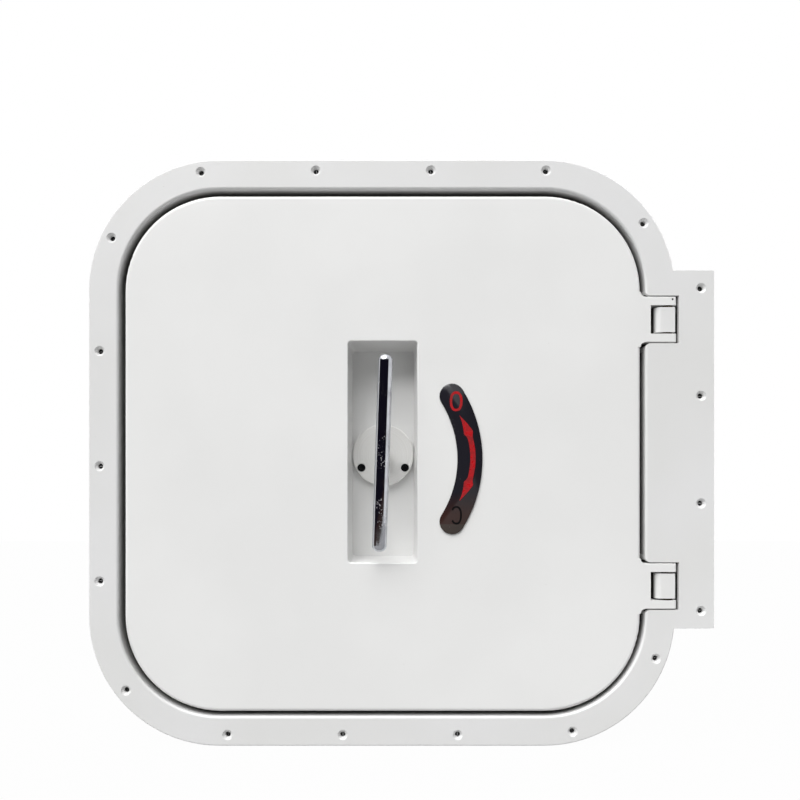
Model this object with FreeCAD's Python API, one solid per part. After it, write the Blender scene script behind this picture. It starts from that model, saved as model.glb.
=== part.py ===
"""Flush watertight hatch for a ship's bulkhead, with a central handle and four sliding dogs.

Lengths are in millimetres. The outer face of the frame lies in the plane y = 0, +Y goes inboard,
+X is to the right for someone who stands outside and +Z is up. The origin is the handle's axis.
"""

import FreeCAD, Part
import math
import os

# Leaf: the swinging panel
leaf_size = 640.0
leaf_corner_radius = 118.0
leaf_plate = 6.0
leaf_depth = 24.0
skirt_thickness = 6.0
leaf_edge_round = 4.5
seal_channel_width = 16.0
seal_rib_thickness = 5.0
seal_side_gap = 0.2
seal_gap = 0.3

# Frame: a flat flange, the coaming behind it and a sealing ledge
leaf_gap = 7.0
leaf_hang_sideways = 1.0
leaf_hang_down = 1.0
flange_width = 36.5
flange_thickness = 6.0
flange_edge_round = 1.5
rabbet_edge_round = 3.0
coaming_thickness = 6.0
ledge_clearance = 6.0
ledge_thickness = 6.0
ledge_overlap = 20.0
bead_width = 4.0
bead_height = 4.0
bead_round = 1.5

# Bedding gasket between the flange and the bulkhead
bedding_thickness = 3.0
bedding_inside_edge = 2.0
bedding_from_coaming = 1.0
bedding_hole_gap = 0.5

# Holes along the flange
flange_hole_diameter = 6.6
countersink_diameter = 12.6
flange_hole_inset = 13.5
flange_hole_count = 15
first_hole_round_corner = 88.0
last_hole_round_corner = 54.7

# Wing: the straight extension of the flange on the hinge side
wing_width = 85.0
wing_beyond_hinge = 56.5
wing_lift = 4.0
wing_corner_round = 1.5
wing_hole_count = 4
wing_hole_inset = 16.0
wing_hole_end = 21.75

# Hinges
hinge_from_corner = 36.5
pocket_end_gap = 2.5
pocket_side_gap = 1.4
pocket_mouth_round = 6.5
pocket_depth = 26.0
pocket_wall = 9.0
fork_reach = 45.0
fork_height = 56.4
fork_depth = 17.0
fork_slot_height = 35.4
fork_root_round = 6.0
fork_tip_round = 3.5
fork_edge_round = 1.0
block_height = 31.0
block_width = 25.0
block_tip_gap = 1.5
block_root_gap = 6.0
block_set_back = 1.0
block_round = 8.0
hinge_pin_diameter = 8.0
hinge_pin_from_tip = 10.5
hinge_pin_depth = 9.0
hinge_pin_recess = 1.0
hinge_running = 0.05
bush_wall = 2.0
bush_length = 14.0
bush_flange_diameter = 16.0
bush_end_play = 0.25
block_screw_spacing = 16.0
block_screw_length = 12.0
lock_pin_diameter = 2.5
lock_pin_length = 11.0
lock_pin_recess = 0.8
lock_pin_below_top = 3.2

# Handle recess
recess_width = 86.0
recess_height = 275.0
recess_lift = 2.0
recess_depth = 62.0
recess_draft = 2.5
recess_corner_radius = 4.0
recess_lip_round = 1.5
pan_wall = 4.0
pan_floor = 5.0
pan_floor_round = 3.0

# Bearing housing, whose flange is the round plate on the recess floor
housing_flange_diameter = 80.0
housing_flange_thickness = 10.0
housing_scallop_gap = 1.5
housing_barrel_diameter = 36.0
housing_bore_diameter = 26.0
housing_front_wall = 12.0
housing_screw_inset = 7.0
housing_screw_count = 3
housing_screw_cover = 2.5
seat_gap = 0.1
o_ring_cord = 2.6
o_ring_count = 2
o_ring_pitch = 5.0
front_bush_length = 6.0

# Socket-head screws: M6 for the housing and the hinge blocks, M5 for the guides
large_screw_diameter = 6.0
large_head_diameter = 10.0
large_head_height = 6.0
large_socket_width = 5.0
small_screw_diameter = 5.0
small_head_diameter = 8.5
small_head_height = 5.0
small_socket_width = 4.0
thread_gap = 0.05
screw_hole_gap = 0.3
counterbore_gap = 0.5

# Handle, spindle and what turns with them
handle_diameter = 18.0
handle_length = 240.0
handle_lean = 1.9
handle_stand_off = 8.0
handle_end_round = 7.5
handle_turn = 90.0
spindle_diameter = 16.0
spindle_spigot_diameter = 10.0
collar_diameter = 25.0
collar_width = 3.0
collar_end_play = 0.3
rear_journal_diameter = 18.0
running_gap = 0.05
thrust_washer_diameter = 34.0
thrust_washer_thickness = 2.0
drive_seat_diameter = 16.0
drive_key_width = 5.0
drive_key_depth = 3.0
drive_key_proud = 2.0
drive_key_end = 1.5
thread_diameter = 12.0
thread_beyond_nut = 3.0
nut_width = 19.0
nut_height = 10.0
washer_diameter = 28.0
washer_thickness = 2.5
inner_hub_diameter = 34.0
inner_hub_beyond_bar = 3.0
inner_handle_diameter = 16.0
inner_handle_length = 220.0
inner_finger_room = 35.0

# Cam plate with four spiral slots, and the dogs that its slots draw in and out
cam_thickness = 8.0
cam_rim = 10.0
cam_hub_diameter = 36.0
cam_hub_length = 10.0
cam_edge_round = 1.0
cam_clearance = 1.2
slot_gap = 0.2
dog_pin_diameter = 10.0
dog_pin_start = 35.0
dog_pin_beyond_cam = 1.5
dog_width = 25.0
dog_thickness = 10.0
dog_inner_end = 10.0
dog_engagement = 18.0
dog_withdrawn_gap = 7.0
dog_bend_from_pan = 6.5
dog_bend_run = 40.0
dog_ramp_length = 10.0
dog_ramp_height = 3.0
dog_tip_round = 5.0
dog_running = 0.3

# Plate and guides that carry the dogs
mechanism_plate_diameter = 240.0
mechanism_plate_thickness = 8.0
guide_side_gap = 0.4
guide_cheek = 10.0
guide_length = 20.0
guide_roof = 8.0
inner_guide_from_edge = 5.0
outer_guide_from_rib = 12.0
outer_guide_shelf = 6.0
guide_edge_round = 1.5

# Strike plates on the back of the ledge
strike_length = 60.0
strike_width = 24.0
strike_thickness = 4.0
strike_ramp = 6.0
strike_ramp_height = 2.5
strike_set_back = 1.5
strike_screw_spacing = 40.0
strike_screw_diameter = 5.0
strike_head_diameter = 9.0
strike_screw_length = 9.0

# Stiffeners on the back of the leaf
stiffener_thickness = 6.0
stiffener_height = 28.0
stiffener_beside_recess = 77.0
stiffener_above_recess = 61.0
stiffener_end_gap = 2.0
stiffener_end_taper = 18.0

# Arc-shaped plate that shows which way the handle turns
label_radius = 147.0
label_width = 31.0
label_centre_x = -38.8
label_centre_z = -6.7
label_half_angle = 32.0
label_thickness = 2.0

# Places that follow from the sizes above
leaf_half = leaf_size / 2
straight_half = leaf_half - leaf_corner_radius
rabbet_half = leaf_half + leaf_gap
opening_half = leaf_half - ledge_overlap
frame_x = -leaf_hang_sideways
frame_z = leaf_hang_down
ledge_front = leaf_depth + ledge_clearance
ledge_back = ledge_front + ledge_thickness
bead_tip = ledge_front - bead_height
bead_middle = -(skirt_thickness + seal_channel_width / 2)

hinge_half_spacing = leaf_half - leaf_corner_radius - hinge_from_corner
hinge_heights = {"upper": frame_z + hinge_half_spacing, "lower": frame_z - hinge_half_spacing}
fork_root = leaf_half - skirt_thickness
fork_tip = leaf_half + fork_reach
pocket_end = fork_tip + pocket_end_gap
pocket_half = fork_height / 2 + pocket_side_gap
rabbet_edge = frame_x + rabbet_half
block_right = fork_tip - block_tip_gap
block_left = block_right - block_width
fork_slot_root = block_left - block_root_gap
hinge_x = fork_tip - hinge_pin_from_tip
hinge_y = hinge_pin_depth
wing_edge = rabbet_edge + wing_width
wing_middle = frame_z + wing_lift
wing_half = hinge_half_spacing + wing_beyond_hinge
block_screw_seat = ledge_front
block_screw_end = block_screw_seat - block_screw_length

pan_back = recess_depth + pan_floor
plate_back = pan_back + mechanism_plate_thickness
dog_rear_front = plate_back + dog_running
dog_rear_back = dog_rear_front + dog_thickness
cam_front = dog_rear_back + cam_clearance
cam_back = cam_front + cam_thickness
cam_hub_back = cam_back + cam_hub_length
inner_handle_y = cam_back + inner_finger_room + inner_handle_diameter / 2
inner_hub_back = inner_handle_y + inner_handle_diameter / 2 + inner_hub_beyond_bar
washer_back = inner_hub_back + washer_thickness
nut_back = washer_back + nut_height
housing_front = recess_depth - housing_flange_thickness
housing_bore_front = housing_front + housing_front_wall
housing_screw_seat = housing_front + large_head_height + counterbore_gap
housing_screw_end = plate_back - housing_screw_cover
housing_back = cam_front - thrust_washer_thickness - collar_end_play
collar_front = housing_bore_front + front_bush_length + collar_end_play
collar_back = collar_front + collar_width
rear_bush_front = collar_back + collar_end_play
handle_y = -(handle_stand_off + handle_diameter / 2)

strike_back = ledge_back + strike_thickness
dog_front = strike_back + dog_running
dog_back = dog_front + dog_thickness
dog_travel = dog_engagement + dog_withdrawn_gap
dog_tip = opening_half - dog_withdrawn_gap
dog_bend_start = recess_height / 2 + recess_lift + pan_wall + dog_bend_from_pan
rib_inside = leaf_half - skirt_thickness - seal_channel_width - seal_rib_thickness
outer_guide_outer = rib_inside - outer_guide_from_rib
outer_guide_inner = outer_guide_outer - guide_length
inner_guide_outer = mechanism_plate_diameter / 2 - inner_guide_from_edge
inner_guide_inner = inner_guide_outer - guide_length
cam_radius = dog_pin_start + dog_travel + dog_pin_diameter / 2 + slot_gap + cam_rim
stiffener_x = recess_width / 2 + stiffener_beside_recess
stiffener_z = recess_height / 2 + stiffener_above_recess

# The dogs' directions, as angles from +X towards +Z
dog_directions = {"hinge_side": 0.0, "top": 90.0, "lock_side": 180.0, "bottom": 270.0}

origin = FreeCAD.Vector(0, 0, 0)
inboard = FreeCAD.Vector(0, 1, 0)
outboard = FreeCAD.Vector(0, -1, 0)
upward = FreeCAD.Vector(0, 0, 1)
near = 0.01


def point(x, y, z):
    """A point or direction."""
    return FreeCAD.Vector(x, y, z)


def block(x0, x1, y0, y1, z0, z1):
    """A plain rectangular solid between two corners."""
    return Part.makeBox(x1 - x0, y1 - y0, z1 - z0, point(x0, y0, z0))


def round_bar(radius, y0, y1, x=0.0, z=0.0):
    """A cylinder along Y."""
    return Part.makeCylinder(radius, y1 - y0, point(x, y0, z), inboard)


def tube(outer_radius, inner_radius, y0, y1, x=0.0, z=0.0):
    """A tube along Y."""
    return round_bar(outer_radius, y0, y1, x, z).cut(round_bar(inner_radius, y0, y1, x, z))


def arc(start, middle, end):
    """An arc edge through three points."""
    return Part.Arc(start, middle, end).toShape()


def rounded_rectangle(width, height, radius, x, z, y):
    """A face in the plane at y: a rectangle with round corners about the centre x, z."""
    corners = []
    for side_x, side_z in ((1, 1), (-1, 1), (-1, -1), (1, -1)):
        middle = point(x + side_x * (width / 2 - radius), y, z + side_z * (height / 2 - radius))
        along_x = middle + point(side_x * radius, 0, 0)
        along_z = middle + point(0, 0, side_z * radius)
        diagonal = middle + point(side_x, 0, side_z) * (radius * math.sqrt(0.5))
        ends = (along_x, along_z) if side_x == side_z else (along_z, along_x)
        corners.append((ends[0], diagonal, ends[1]))
    edges = []
    for index, (start, middle, end) in enumerate(corners):
        edges.append(arc(start, middle, end))
        following = corners[(index + 1) % len(corners)][0]
        edges.append(Part.makeLine(end, following))
    return Part.Face(Part.Wire(edges))


def leaf_slab(offset, y0, y1):
    """A slab with the leaf's outline, moved outwards by offset."""
    size = leaf_size + 2 * offset
    return rounded_rectangle(size, size, leaf_corner_radius + offset, 0, 0, y0).extrude(point(0, y1 - y0, 0))


def frame_slab(offset, y0, y1):
    """A slab with the rabbet's outline, moved outwards by offset."""
    size = 2 * (rabbet_half + offset)
    radius = leaf_corner_radius + leaf_gap + offset
    return rounded_rectangle(size, size, radius, frame_x, frame_z, y0).extrude(point(0, y1 - y0, 0))


def between_corners(x, z):
    """The cross-shaped space about the centre x, z that holds the straight lengths of a ring."""
    level = block(x - wing_edge, x + wing_edge, 0, ledge_back, z - straight_half, z + straight_half)
    upright = block(x - straight_half, x + straight_half, 0, ledge_back, z - wing_edge, z + wing_edge)
    return level.fuse(upright)


def recess_slab(offset, y0, y1):
    """The drafted space of the handle recess from y0 to y1, moved outwards by offset."""
    wires = []
    for y in (y0, y1):
        shrink = 2 * recess_draft * y / recess_depth
        width = recess_width + 2 * offset - shrink
        height = recess_height + 2 * offset - shrink
        face = rounded_rectangle(width, height, recess_corner_radius + offset, 0, recess_lift, y)
        wires.append(face.OuterWire)
    return Part.makeLoft(wires, True)


def polygon_solid(points, direction):
    """A closed polygon, pushed along a direction."""
    return Part.Face(Part.makePolygon(points + points[:1])).extrude(direction)


def in_plane_y(edge, y):
    """Whether an edge lies in the plane at y."""
    return abs(edge.BoundBox.YMin - y) < near and abs(edge.BoundBox.YMax - y) < near


def round_edges(shape, radius, chosen):
    """Fillets the edges that the function chosen picks."""
    return shape.makeFillet(radius, [edge for edge in shape.Edges if chosen(edge)])


def about_handle(shape, angle):
    """A copy turned about the handle's axis, by an angle from +X towards +Z."""
    copy = shape.copy()
    copy.rotate(origin, outboard, angle)
    return copy


def hexagon(width, y0, y1, x=0.0, z=0.0):
    """A hexagonal prism along Y, with its width across the flats."""
    radius = width / math.sqrt(3)
    points = []
    for step in range(6):
        angle = math.radians(60 * step)
        points.append(point(x + radius * math.cos(angle), y0, z + radius * math.sin(angle)))
    return polygon_solid(points, point(0, y1 - y0, 0))


def cap_screw(seat, length, diameter, head_diameter, head_height, socket_width, x, z, into):
    """A socket-head screw whose head rests on the plane at seat; into is 1 if it points to +Y, else -1."""
    head = round_bar(head_diameter / 2, -head_height, 0)
    socket = hexagon(socket_width, -head_height, -head_height / 2)
    screw = head.cut(socket).fuse(round_bar(diameter / 2, 0, length)).removeSplitter()
    if into < 0:
        screw.rotate(origin, upward, 180)
    screw.translate(point(x, seat, z))
    return screw


def countersunk_hole(diameter, head_diameter, face_y, depth, x, z, into):
    """The space of a countersunk hole from the plane at face_y; into is 1 if it goes to +Y, else -1."""
    cone_depth = (head_diameter - diameter) / 2
    hole = round_bar(diameter / 2, 0, depth)
    cone = Part.makeCone(head_diameter / 2, diameter / 2, cone_depth, origin, inboard)
    space = hole.fuse(cone)
    if into < 0:
        space.rotate(origin, upward, 180)
    space.translate(point(x, face_y, z))
    return space


def point_along_flange(distance):
    """The place on the line of flange holes, counted from the middle of the hinge side, upwards first."""
    half = rabbet_half + flange_width - flange_hole_inset
    radius = leaf_corner_radius + leaf_gap + flange_width - flange_hole_inset
    straight = half - radius
    bend = math.pi * radius / 2
    side, along = divmod(distance + straight, 2 * straight + bend)
    if along <= 2 * straight:
        x, z = half, along - straight
    else:
        angle = (along - 2 * straight) / radius
        x = straight + radius * math.cos(angle)
        z = straight + radius * math.sin(angle)
    turn = math.radians(90 * side)
    turned_x = x * math.cos(turn) - z * math.sin(turn)
    turned_z = x * math.sin(turn) + z * math.cos(turn)
    return frame_x + turned_x, frame_z + turned_z


def flange_hole_places():
    """Centres of all the holes: the run round the flange, then the row on the wing."""
    half = rabbet_half + flange_width - flange_hole_inset
    radius = leaf_corner_radius + leaf_gap + flange_width - flange_hole_inset
    straight = half - radius
    perimeter = 8 * straight + 2 * math.pi * radius
    first = straight + first_hole_round_corner
    last = perimeter - straight - last_hole_round_corner
    pitch = (last - first) / (flange_hole_count - 1)
    places = [point_along_flange(first + pitch * index) for index in range(flange_hole_count)]
    wing_pitch = 2 * (wing_half - wing_hole_end) / (wing_hole_count - 1)
    for index in range(wing_hole_count):
        places.append((wing_edge - wing_hole_inset, wing_middle + wing_half - wing_hole_end - wing_pitch * index))
    return places


def pocket_space(middle_z):
    """The pocket for one hinge, with a rounded mouth towards the leaf."""
    inner = rabbet_edge - leaf_gap / 2
    r = pocket_mouth_round
    bulge = r * (1 - math.sqrt(0.5))
    upper = middle_z + pocket_half
    lower = middle_z - pocket_half
    start = -flange_thickness
    edges = [
        Part.makeLine(point(inner, start, upper + r), point(rabbet_edge, start, upper + r)),
        arc(
            point(rabbet_edge, start, upper + r),
            point(rabbet_edge + bulge, start, upper + bulge),
            point(rabbet_edge + r, start, upper),
        ),
        Part.makeLine(point(rabbet_edge + r, start, upper), point(pocket_end, start, upper)),
        Part.makeLine(point(pocket_end, start, upper), point(pocket_end, start, lower)),
        Part.makeLine(point(pocket_end, start, lower), point(rabbet_edge + r, start, lower)),
        arc(
            point(rabbet_edge + r, start, lower),
            point(rabbet_edge + bulge, start, lower - bulge),
            point(rabbet_edge, start, lower - r),
        ),
        Part.makeLine(point(rabbet_edge, start, lower - r), point(inner, start, lower - r)),
        Part.makeLine(point(inner, start, lower - r), point(inner, start, upper + r)),
    ]
    return Part.Face(Part.Wire(edges)).extrude(point(0, pocket_depth - start, 0))


def pocket_box(middle_z, margin):
    """The outline of the closed box round a pocket, from the flange's back to the ledge's front."""
    half = pocket_half + pocket_wall + margin
    outer = pocket_end + coaming_thickness + margin
    return block(rabbet_edge, outer, flange_thickness, ledge_front, middle_z - half, middle_z + half)


def block_screw_places(middle_z):
    """Centres of the screws that hold one hinge block."""
    middle_x = (block_left + block_right) / 2
    return [(middle_x, middle_z + side * block_screw_spacing / 2) for side in (-1, 1)]


def in_rabbet(edge):
    """Whether an edge runs along the rabbet, at the flange's face."""
    reach = rabbet_half + near
    box = edge.BoundBox
    beside = box.XMax < frame_x + reach and box.XMin > frame_x - reach
    return in_plane_y(edge, 0) and beside and box.ZMax < frame_z + reach and box.ZMin > frame_z - reach


def make_outer_frame():
    """The flat flange and its wing, with the rabbet, the pockets and the countersunk holes cut through."""
    flange = frame_slab(flange_width, 0, flange_thickness)
    flange = round_edges(flange, flange_edge_round, lambda edge: in_plane_y(edge, 0))
    wing = block(rabbet_edge, wing_edge, 0, flange_thickness, wing_middle - wing_half, wing_middle + wing_half)
    wing = round_edges(
        wing,
        wing_corner_round,
        lambda edge: abs(edge.BoundBox.XMin - wing_edge) < near and edge.Length < 2 * flange_thickness,
    )
    plate = flange.fuse(wing).removeSplitter()
    plate = plate.cut(frame_slab(0, -flange_thickness, 2 * flange_thickness))
    plate = round_edges(plate, rabbet_edge_round, in_rabbet)
    cuts = [pocket_space(z) for z in hinge_heights.values()]
    for x, z in flange_hole_places():
        cuts.append(countersunk_hole(flange_hole_diameter, countersink_diameter, 0, flange_thickness, x, z, 1))
    return plate.cut(cuts)


def coaming_ring():
    """The wall behind the flange, open where the hinge pockets stand."""
    ring = frame_slab(coaming_thickness, flange_thickness, ledge_front)
    inside = frame_slab(0, flange_thickness, ledge_front)
    return ring.cut([inside] + [pocket_box(z, 0) for z in hinge_heights.values()])


def make_frame_coaming():
    """The four flat bars of the wall behind the flange."""
    return coaming_ring().common(between_corners(frame_x, frame_z))


def make_coaming_corners():
    """The four bent bars that join the flat ones of the wall behind the flange."""
    return coaming_ring().cut(between_corners(frame_x, frame_z))


def make_hinge_pocket(middle_z):
    """The box that closes one pocket behind the flange, with the holes for the hinge block's screws."""
    cuts = [pocket_space(middle_z)]
    for x, z in block_screw_places(middle_z):
        cuts.append(round_bar(large_screw_diameter / 2 + screw_hole_gap, pocket_depth, block_screw_seat, x, z))
    return pocket_box(middle_z, 0).cut(cuts)


def make_sealing_ledge():
    """The ledge behind the leaf, with the bead that the seal closes on and the holes for the strikes."""
    ledge = frame_slab(coaming_thickness, ledge_front, ledge_back)
    ledge = ledge.cut(frame_slab(opening_half - rabbet_half, ledge_front, ledge_back))
    bead_outer = bead_middle + bead_width / 2 - leaf_gap
    bead = frame_slab(bead_outer, bead_tip, ledge_front)
    bead = bead.cut(frame_slab(bead_outer - bead_width, bead_tip, ledge_front))
    bead = round_edges(bead, bead_round, lambda edge: in_plane_y(edge, bead_tip))
    holes = []
    for angle in dog_directions.values():
        for x, z in strike_screw_places():
            hole = round_bar(strike_screw_diameter / 2 + thread_gap, ledge_front, ledge_back, x, z)
            holes.append(about_handle(hole, angle))
    return ledge.fuse(bead).cut(holes)


def make_bedding_gasket():
    """The flat rubber ring behind the flange and its wing, with a hole for each screw."""
    back = flange_thickness + bedding_thickness
    ring = frame_slab(flange_width - bedding_inside_edge, flange_thickness, back)
    half = wing_half - bedding_inside_edge
    edge = wing_edge - bedding_inside_edge
    wing = block(rabbet_edge, edge, flange_thickness, back, wing_middle - half, wing_middle + half)
    cuts = [frame_slab(coaming_thickness + bedding_from_coaming, flange_thickness, back)]
    cuts.extend(pocket_box(z, bedding_from_coaming) for z in hinge_heights.values())
    for x, z in flange_hole_places():
        cuts.append(round_bar(flange_hole_diameter / 2 + bedding_hole_gap, flange_thickness, back, x, z))
    return ring.fuse(wing).removeSplitter().cut(cuts)


def make_hinge_block(middle_z):
    """A fixed knuckle, rounded towards the leaf, on the floor of its pocket."""
    front = block_set_back
    bulge = block_round * (1 - math.sqrt(0.5))
    lower = middle_z - block_height / 2
    edges = [
        Part.makeLine(point(block_left, pocket_depth, lower), point(block_left, front + block_round, lower)),
        arc(
            point(block_left, front + block_round, lower),
            point(block_left + bulge, front + bulge, lower),
            point(block_left + block_round, front, lower),
        ),
        Part.makeLine(point(block_left + block_round, front, lower), point(block_right, front, lower)),
        Part.makeLine(point(block_right, front, lower), point(block_right, pocket_depth, lower)),
        Part.makeLine(point(block_right, pocket_depth, lower), point(block_left, pocket_depth, lower)),
    ]
    solid = Part.Face(Part.Wire(edges)).extrude(point(0, 0, block_height))
    solid = round_edges(
        solid,
        fork_edge_round,
        lambda edge: abs(edge.BoundBox.XMin - block_right) < near and in_plane_y(edge, front),
    )
    bore_radius = hinge_pin_diameter / 2 + hinge_running + bush_wall
    bore = Part.makeCylinder(bore_radius, block_height, point(hinge_x, hinge_y, lower), upward)
    holes = [
        round_bar(large_screw_diameter / 2 + thread_gap, block_screw_end, pocket_depth, x, z)
        for x, z in block_screw_places(middle_z)
    ]
    return solid.cut([bore] + holes)


def make_hinge_block_screws():
    """Two screws for each hinge block, put in from behind."""
    screws = []
    for middle_z in hinge_heights.values():
        for x, z in block_screw_places(middle_z):
            screws.append(
                cap_screw(
                    block_screw_seat,
                    block_screw_length,
                    large_screw_diameter,
                    large_head_diameter,
                    large_head_height,
                    large_socket_width,
                    x,
                    z,
                    -1,
                )
            )
    return Part.makeCompound(screws)


def make_hinge_bushes():
    """A flanged bush in each end of each hinge block."""
    inner = hinge_pin_diameter / 2 + hinge_running
    outer = inner + bush_wall
    flange = (fork_slot_height - block_height) / 2 - bush_end_play
    section = [
        point(inner, 0, -flange),
        point(bush_flange_diameter / 2, 0, -flange),
        point(bush_flange_diameter / 2, 0, 0),
        point(outer, 0, 0),
        point(outer, 0, bush_length),
        point(inner, 0, bush_length),
        point(inner, 0, -flange),
    ]
    bush = Part.Face(Part.makePolygon(section)).revolve(origin, upward, 360)
    bushes = []
    for middle_z in hinge_heights.values():
        lower = bush.copy()
        lower.translate(point(hinge_x, hinge_y, middle_z - block_height / 2))
        upper = bush.copy()
        upper.rotate(origin, point(1, 0, 0), 180)
        upper.translate(point(hinge_x, hinge_y, middle_z + block_height / 2))
        bushes.extend([lower, upper])
    return Part.makeCompound(bushes)


def make_hinge_pin(middle_z):
    """The pin that is fixed in the fork and turns in the bushes."""
    length = fork_height - 2 * hinge_pin_recess
    pin = Part.makeCylinder(
        hinge_pin_diameter / 2, length, point(hinge_x, hinge_y, middle_z - length / 2), upward
    )
    return pin.makeChamfer(0.5, [edge for edge in pin.Edges if edge.Length < length / 2])


def lock_pin_place():
    """The lock pin lies against the side of the upper hinge pin, in the fork's upper finger."""
    x = hinge_x + (hinge_pin_diameter + lock_pin_diameter) / 2
    z = hinge_heights["upper"] + fork_height / 2 - lock_pin_below_top
    return x, z


def make_hinge_lock_pin():
    """A small cross pin that keeps the upper hinge pin from turning in its fork."""
    x, z = lock_pin_place()
    return round_bar(lock_pin_diameter / 2 - thread_gap, lock_pin_recess, lock_pin_length, x, z)


def fork_seat(middle_z):
    """The notch in the leaf's edge that a fork is let into."""
    half = fork_height / 2 + fork_root_round
    return block(fork_root, leaf_half, 0, fork_depth, middle_z - half, middle_z + half)


def make_hinge_fork(middle_z):
    """One fork of the leaf: a flush tab with a slot for the fixed block."""
    half = fork_height / 2
    blank = block(fork_root, fork_tip, 0, fork_depth, middle_z - half, middle_z + half)
    blank = round_edges(
        blank,
        fork_tip_round,
        lambda edge: abs(edge.BoundBox.XMin - fork_tip) < near and edge.BoundBox.ZLength > half,
    )
    blank = round_edges(
        blank,
        fork_edge_round,
        lambda edge: in_plane_y(edge, 0) and edge.BoundBox.ZLength < near,
    )
    gussets = []
    for side in (-1, 1):
        corner_z = middle_z + side * half
        web = block(fork_root, leaf_half + fork_root_round, 0, fork_depth, 0, fork_root_round + half)
        web.translate(point(0, 0, middle_z if side > 0 else middle_z - fork_root_round - half))
        hollow = round_bar(
            fork_root_round, 0, fork_depth, leaf_half + fork_root_round, corner_z + side * fork_root_round
        )
        gussets.append(web.cut(hollow))
    fork = blank.fuse(gussets).removeSplitter()
    slot_half = fork_slot_height / 2
    slot = block(fork_slot_root, fork_tip, 0, fork_depth, middle_z - slot_half, middle_z + slot_half)
    hole_radius = hinge_pin_diameter / 2 + thread_gap / 2
    hole = Part.makeCylinder(hole_radius, fork_height, point(hinge_x, hinge_y, middle_z - half), upward)
    x, z = lock_pin_place()
    return fork.cut([slot, hole, round_bar(lock_pin_diameter / 2, 0, lock_pin_length, x, z)])


def make_leaf_panel():
    """The face plate with its rounded edge, notched for the two hinge forks."""
    panel = leaf_slab(0, 0, leaf_plate)
    panel = round_edges(panel, leaf_edge_round, lambda edge: in_plane_y(edge, 0))
    seats = [fork_seat(z) for z in hinge_heights.values()]
    panel = panel.cut([recess_slab(0, -leaf_plate, leaf_plate)] + seats)
    return round_edges(
        panel,
        recess_lip_round,
        lambda edge: in_plane_y(edge, 0)
        and abs(edge.CenterOfMass.x) < recess_width / 2 + recess_draft
        and abs(edge.CenterOfMass.z - recess_lift) < recess_height / 2 + recess_draft,
    )


def leaf_ring(offset, thickness):
    """A wall on the leaf's back, whose outside lies by offset outside the leaf's edge."""
    return leaf_slab(offset, leaf_plate, leaf_depth).cut(leaf_slab(offset - thickness, leaf_plate, leaf_depth))


def leaf_skirt_ring():
    """The outer wall of the leaf, notched for the two hinge forks."""
    return leaf_ring(0, skirt_thickness).cut([fork_seat(z) for z in hinge_heights.values()])


def make_leaf_skirt():
    """The four flat bars of the leaf's outer wall."""
    return leaf_skirt_ring().common(between_corners(0, 0))


def make_leaf_skirt_corners():
    """The four bent bars of the leaf's outer wall."""
    return leaf_skirt_ring().cut(between_corners(0, 0))


def make_seal_retainer():
    """The four flat bars of the inner wall that makes the seal's channel, together with the skirt."""
    return leaf_ring(-skirt_thickness - seal_channel_width, seal_rib_thickness).common(between_corners(0, 0))


def make_seal_retainer_corners():
    """The four bent bars of the wall inside the seal."""
    return leaf_ring(-skirt_thickness - seal_channel_width, seal_rib_thickness).cut(between_corners(0, 0))


def make_handle_recess_pan():
    """The drafted pan behind the leaf, with scallops beside the bearing housing's flange."""
    outside = recess_slab(pan_wall, leaf_plate, pan_back)
    outside = round_edges(
        outside,
        pan_floor_round,
        lambda edge: in_plane_y(edge, pan_back),
    )
    inside = recess_slab(0, 0, recess_depth)
    scallop = round_bar(
        housing_flange_diameter / 2 + housing_scallop_gap, housing_front - housing_scallop_gap, recess_depth
    )
    barrel = round_bar(housing_barrel_diameter / 2 + seat_gap, recess_depth, pan_back)
    cuts = [inside, scallop, barrel]
    for x, z in housing_screw_places():
        cuts.append(round_bar(large_screw_diameter / 2 + thread_gap, recess_depth, pan_back, x, z))
    return outside.cut(cuts)


def make_door_gasket():
    """The rubber seal in the leaf's channel, which closes on the frame's bead."""
    outer = -(skirt_thickness + seal_side_gap)
    inner = -(skirt_thickness + seal_channel_width - seal_side_gap)
    seal_back = bead_tip - seal_gap
    ring = leaf_slab(outer, leaf_plate, seal_back).cut(leaf_slab(inner, leaf_plate, seal_back))
    return round_edges(ring, bead_round, lambda edge: in_plane_y(edge, seal_back))


def make_back_stiffeners():
    """A welded grid of flat bars on the back of the leaf, with tapered ends."""
    reach = rib_inside - stiffener_end_gap
    top = leaf_plate + stiffener_height
    low = leaf_plate + stiffener_height / 2
    profile = [
        point(-reach, leaf_plate, 0),
        point(-reach, low, 0),
        point(-reach + stiffener_end_taper, top, 0),
        point(reach - stiffener_end_taper, top, 0),
        point(reach, low, 0),
        point(reach, leaf_plate, 0),
    ]
    bar = polygon_solid(profile, point(0, 0, stiffener_thickness))
    bars = []
    for side in (-1, 1):
        level = bar.copy()
        level.translate(point(0, 0, side * stiffener_z - stiffener_thickness / 2))
        upright = bar.copy()
        upright.rotate(origin, outboard, 90)
        upright.translate(point(side * stiffener_x + stiffener_thickness / 2, 0, 0))
        bars.extend([level, upright])
    return bars[0].fuse(bars[1:]).removeSplitter()


def housing_screw_places():
    """Centres of the screws in the bearing housing's flange; the first is straight up."""
    radius = housing_flange_diameter / 2 - housing_screw_inset
    places = []
    for index in range(housing_screw_count):
        angle = math.radians(90 + 360 * index / housing_screw_count)
        places.append((radius * math.cos(angle), radius * math.sin(angle)))
    return places


def o_ring_places():
    """Middles of the seal grooves along the housing's front wall."""
    middle = (housing_front + housing_bore_front) / 2
    return [middle + (index - (o_ring_count - 1) / 2) * o_ring_pitch for index in range(o_ring_count)]


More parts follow.
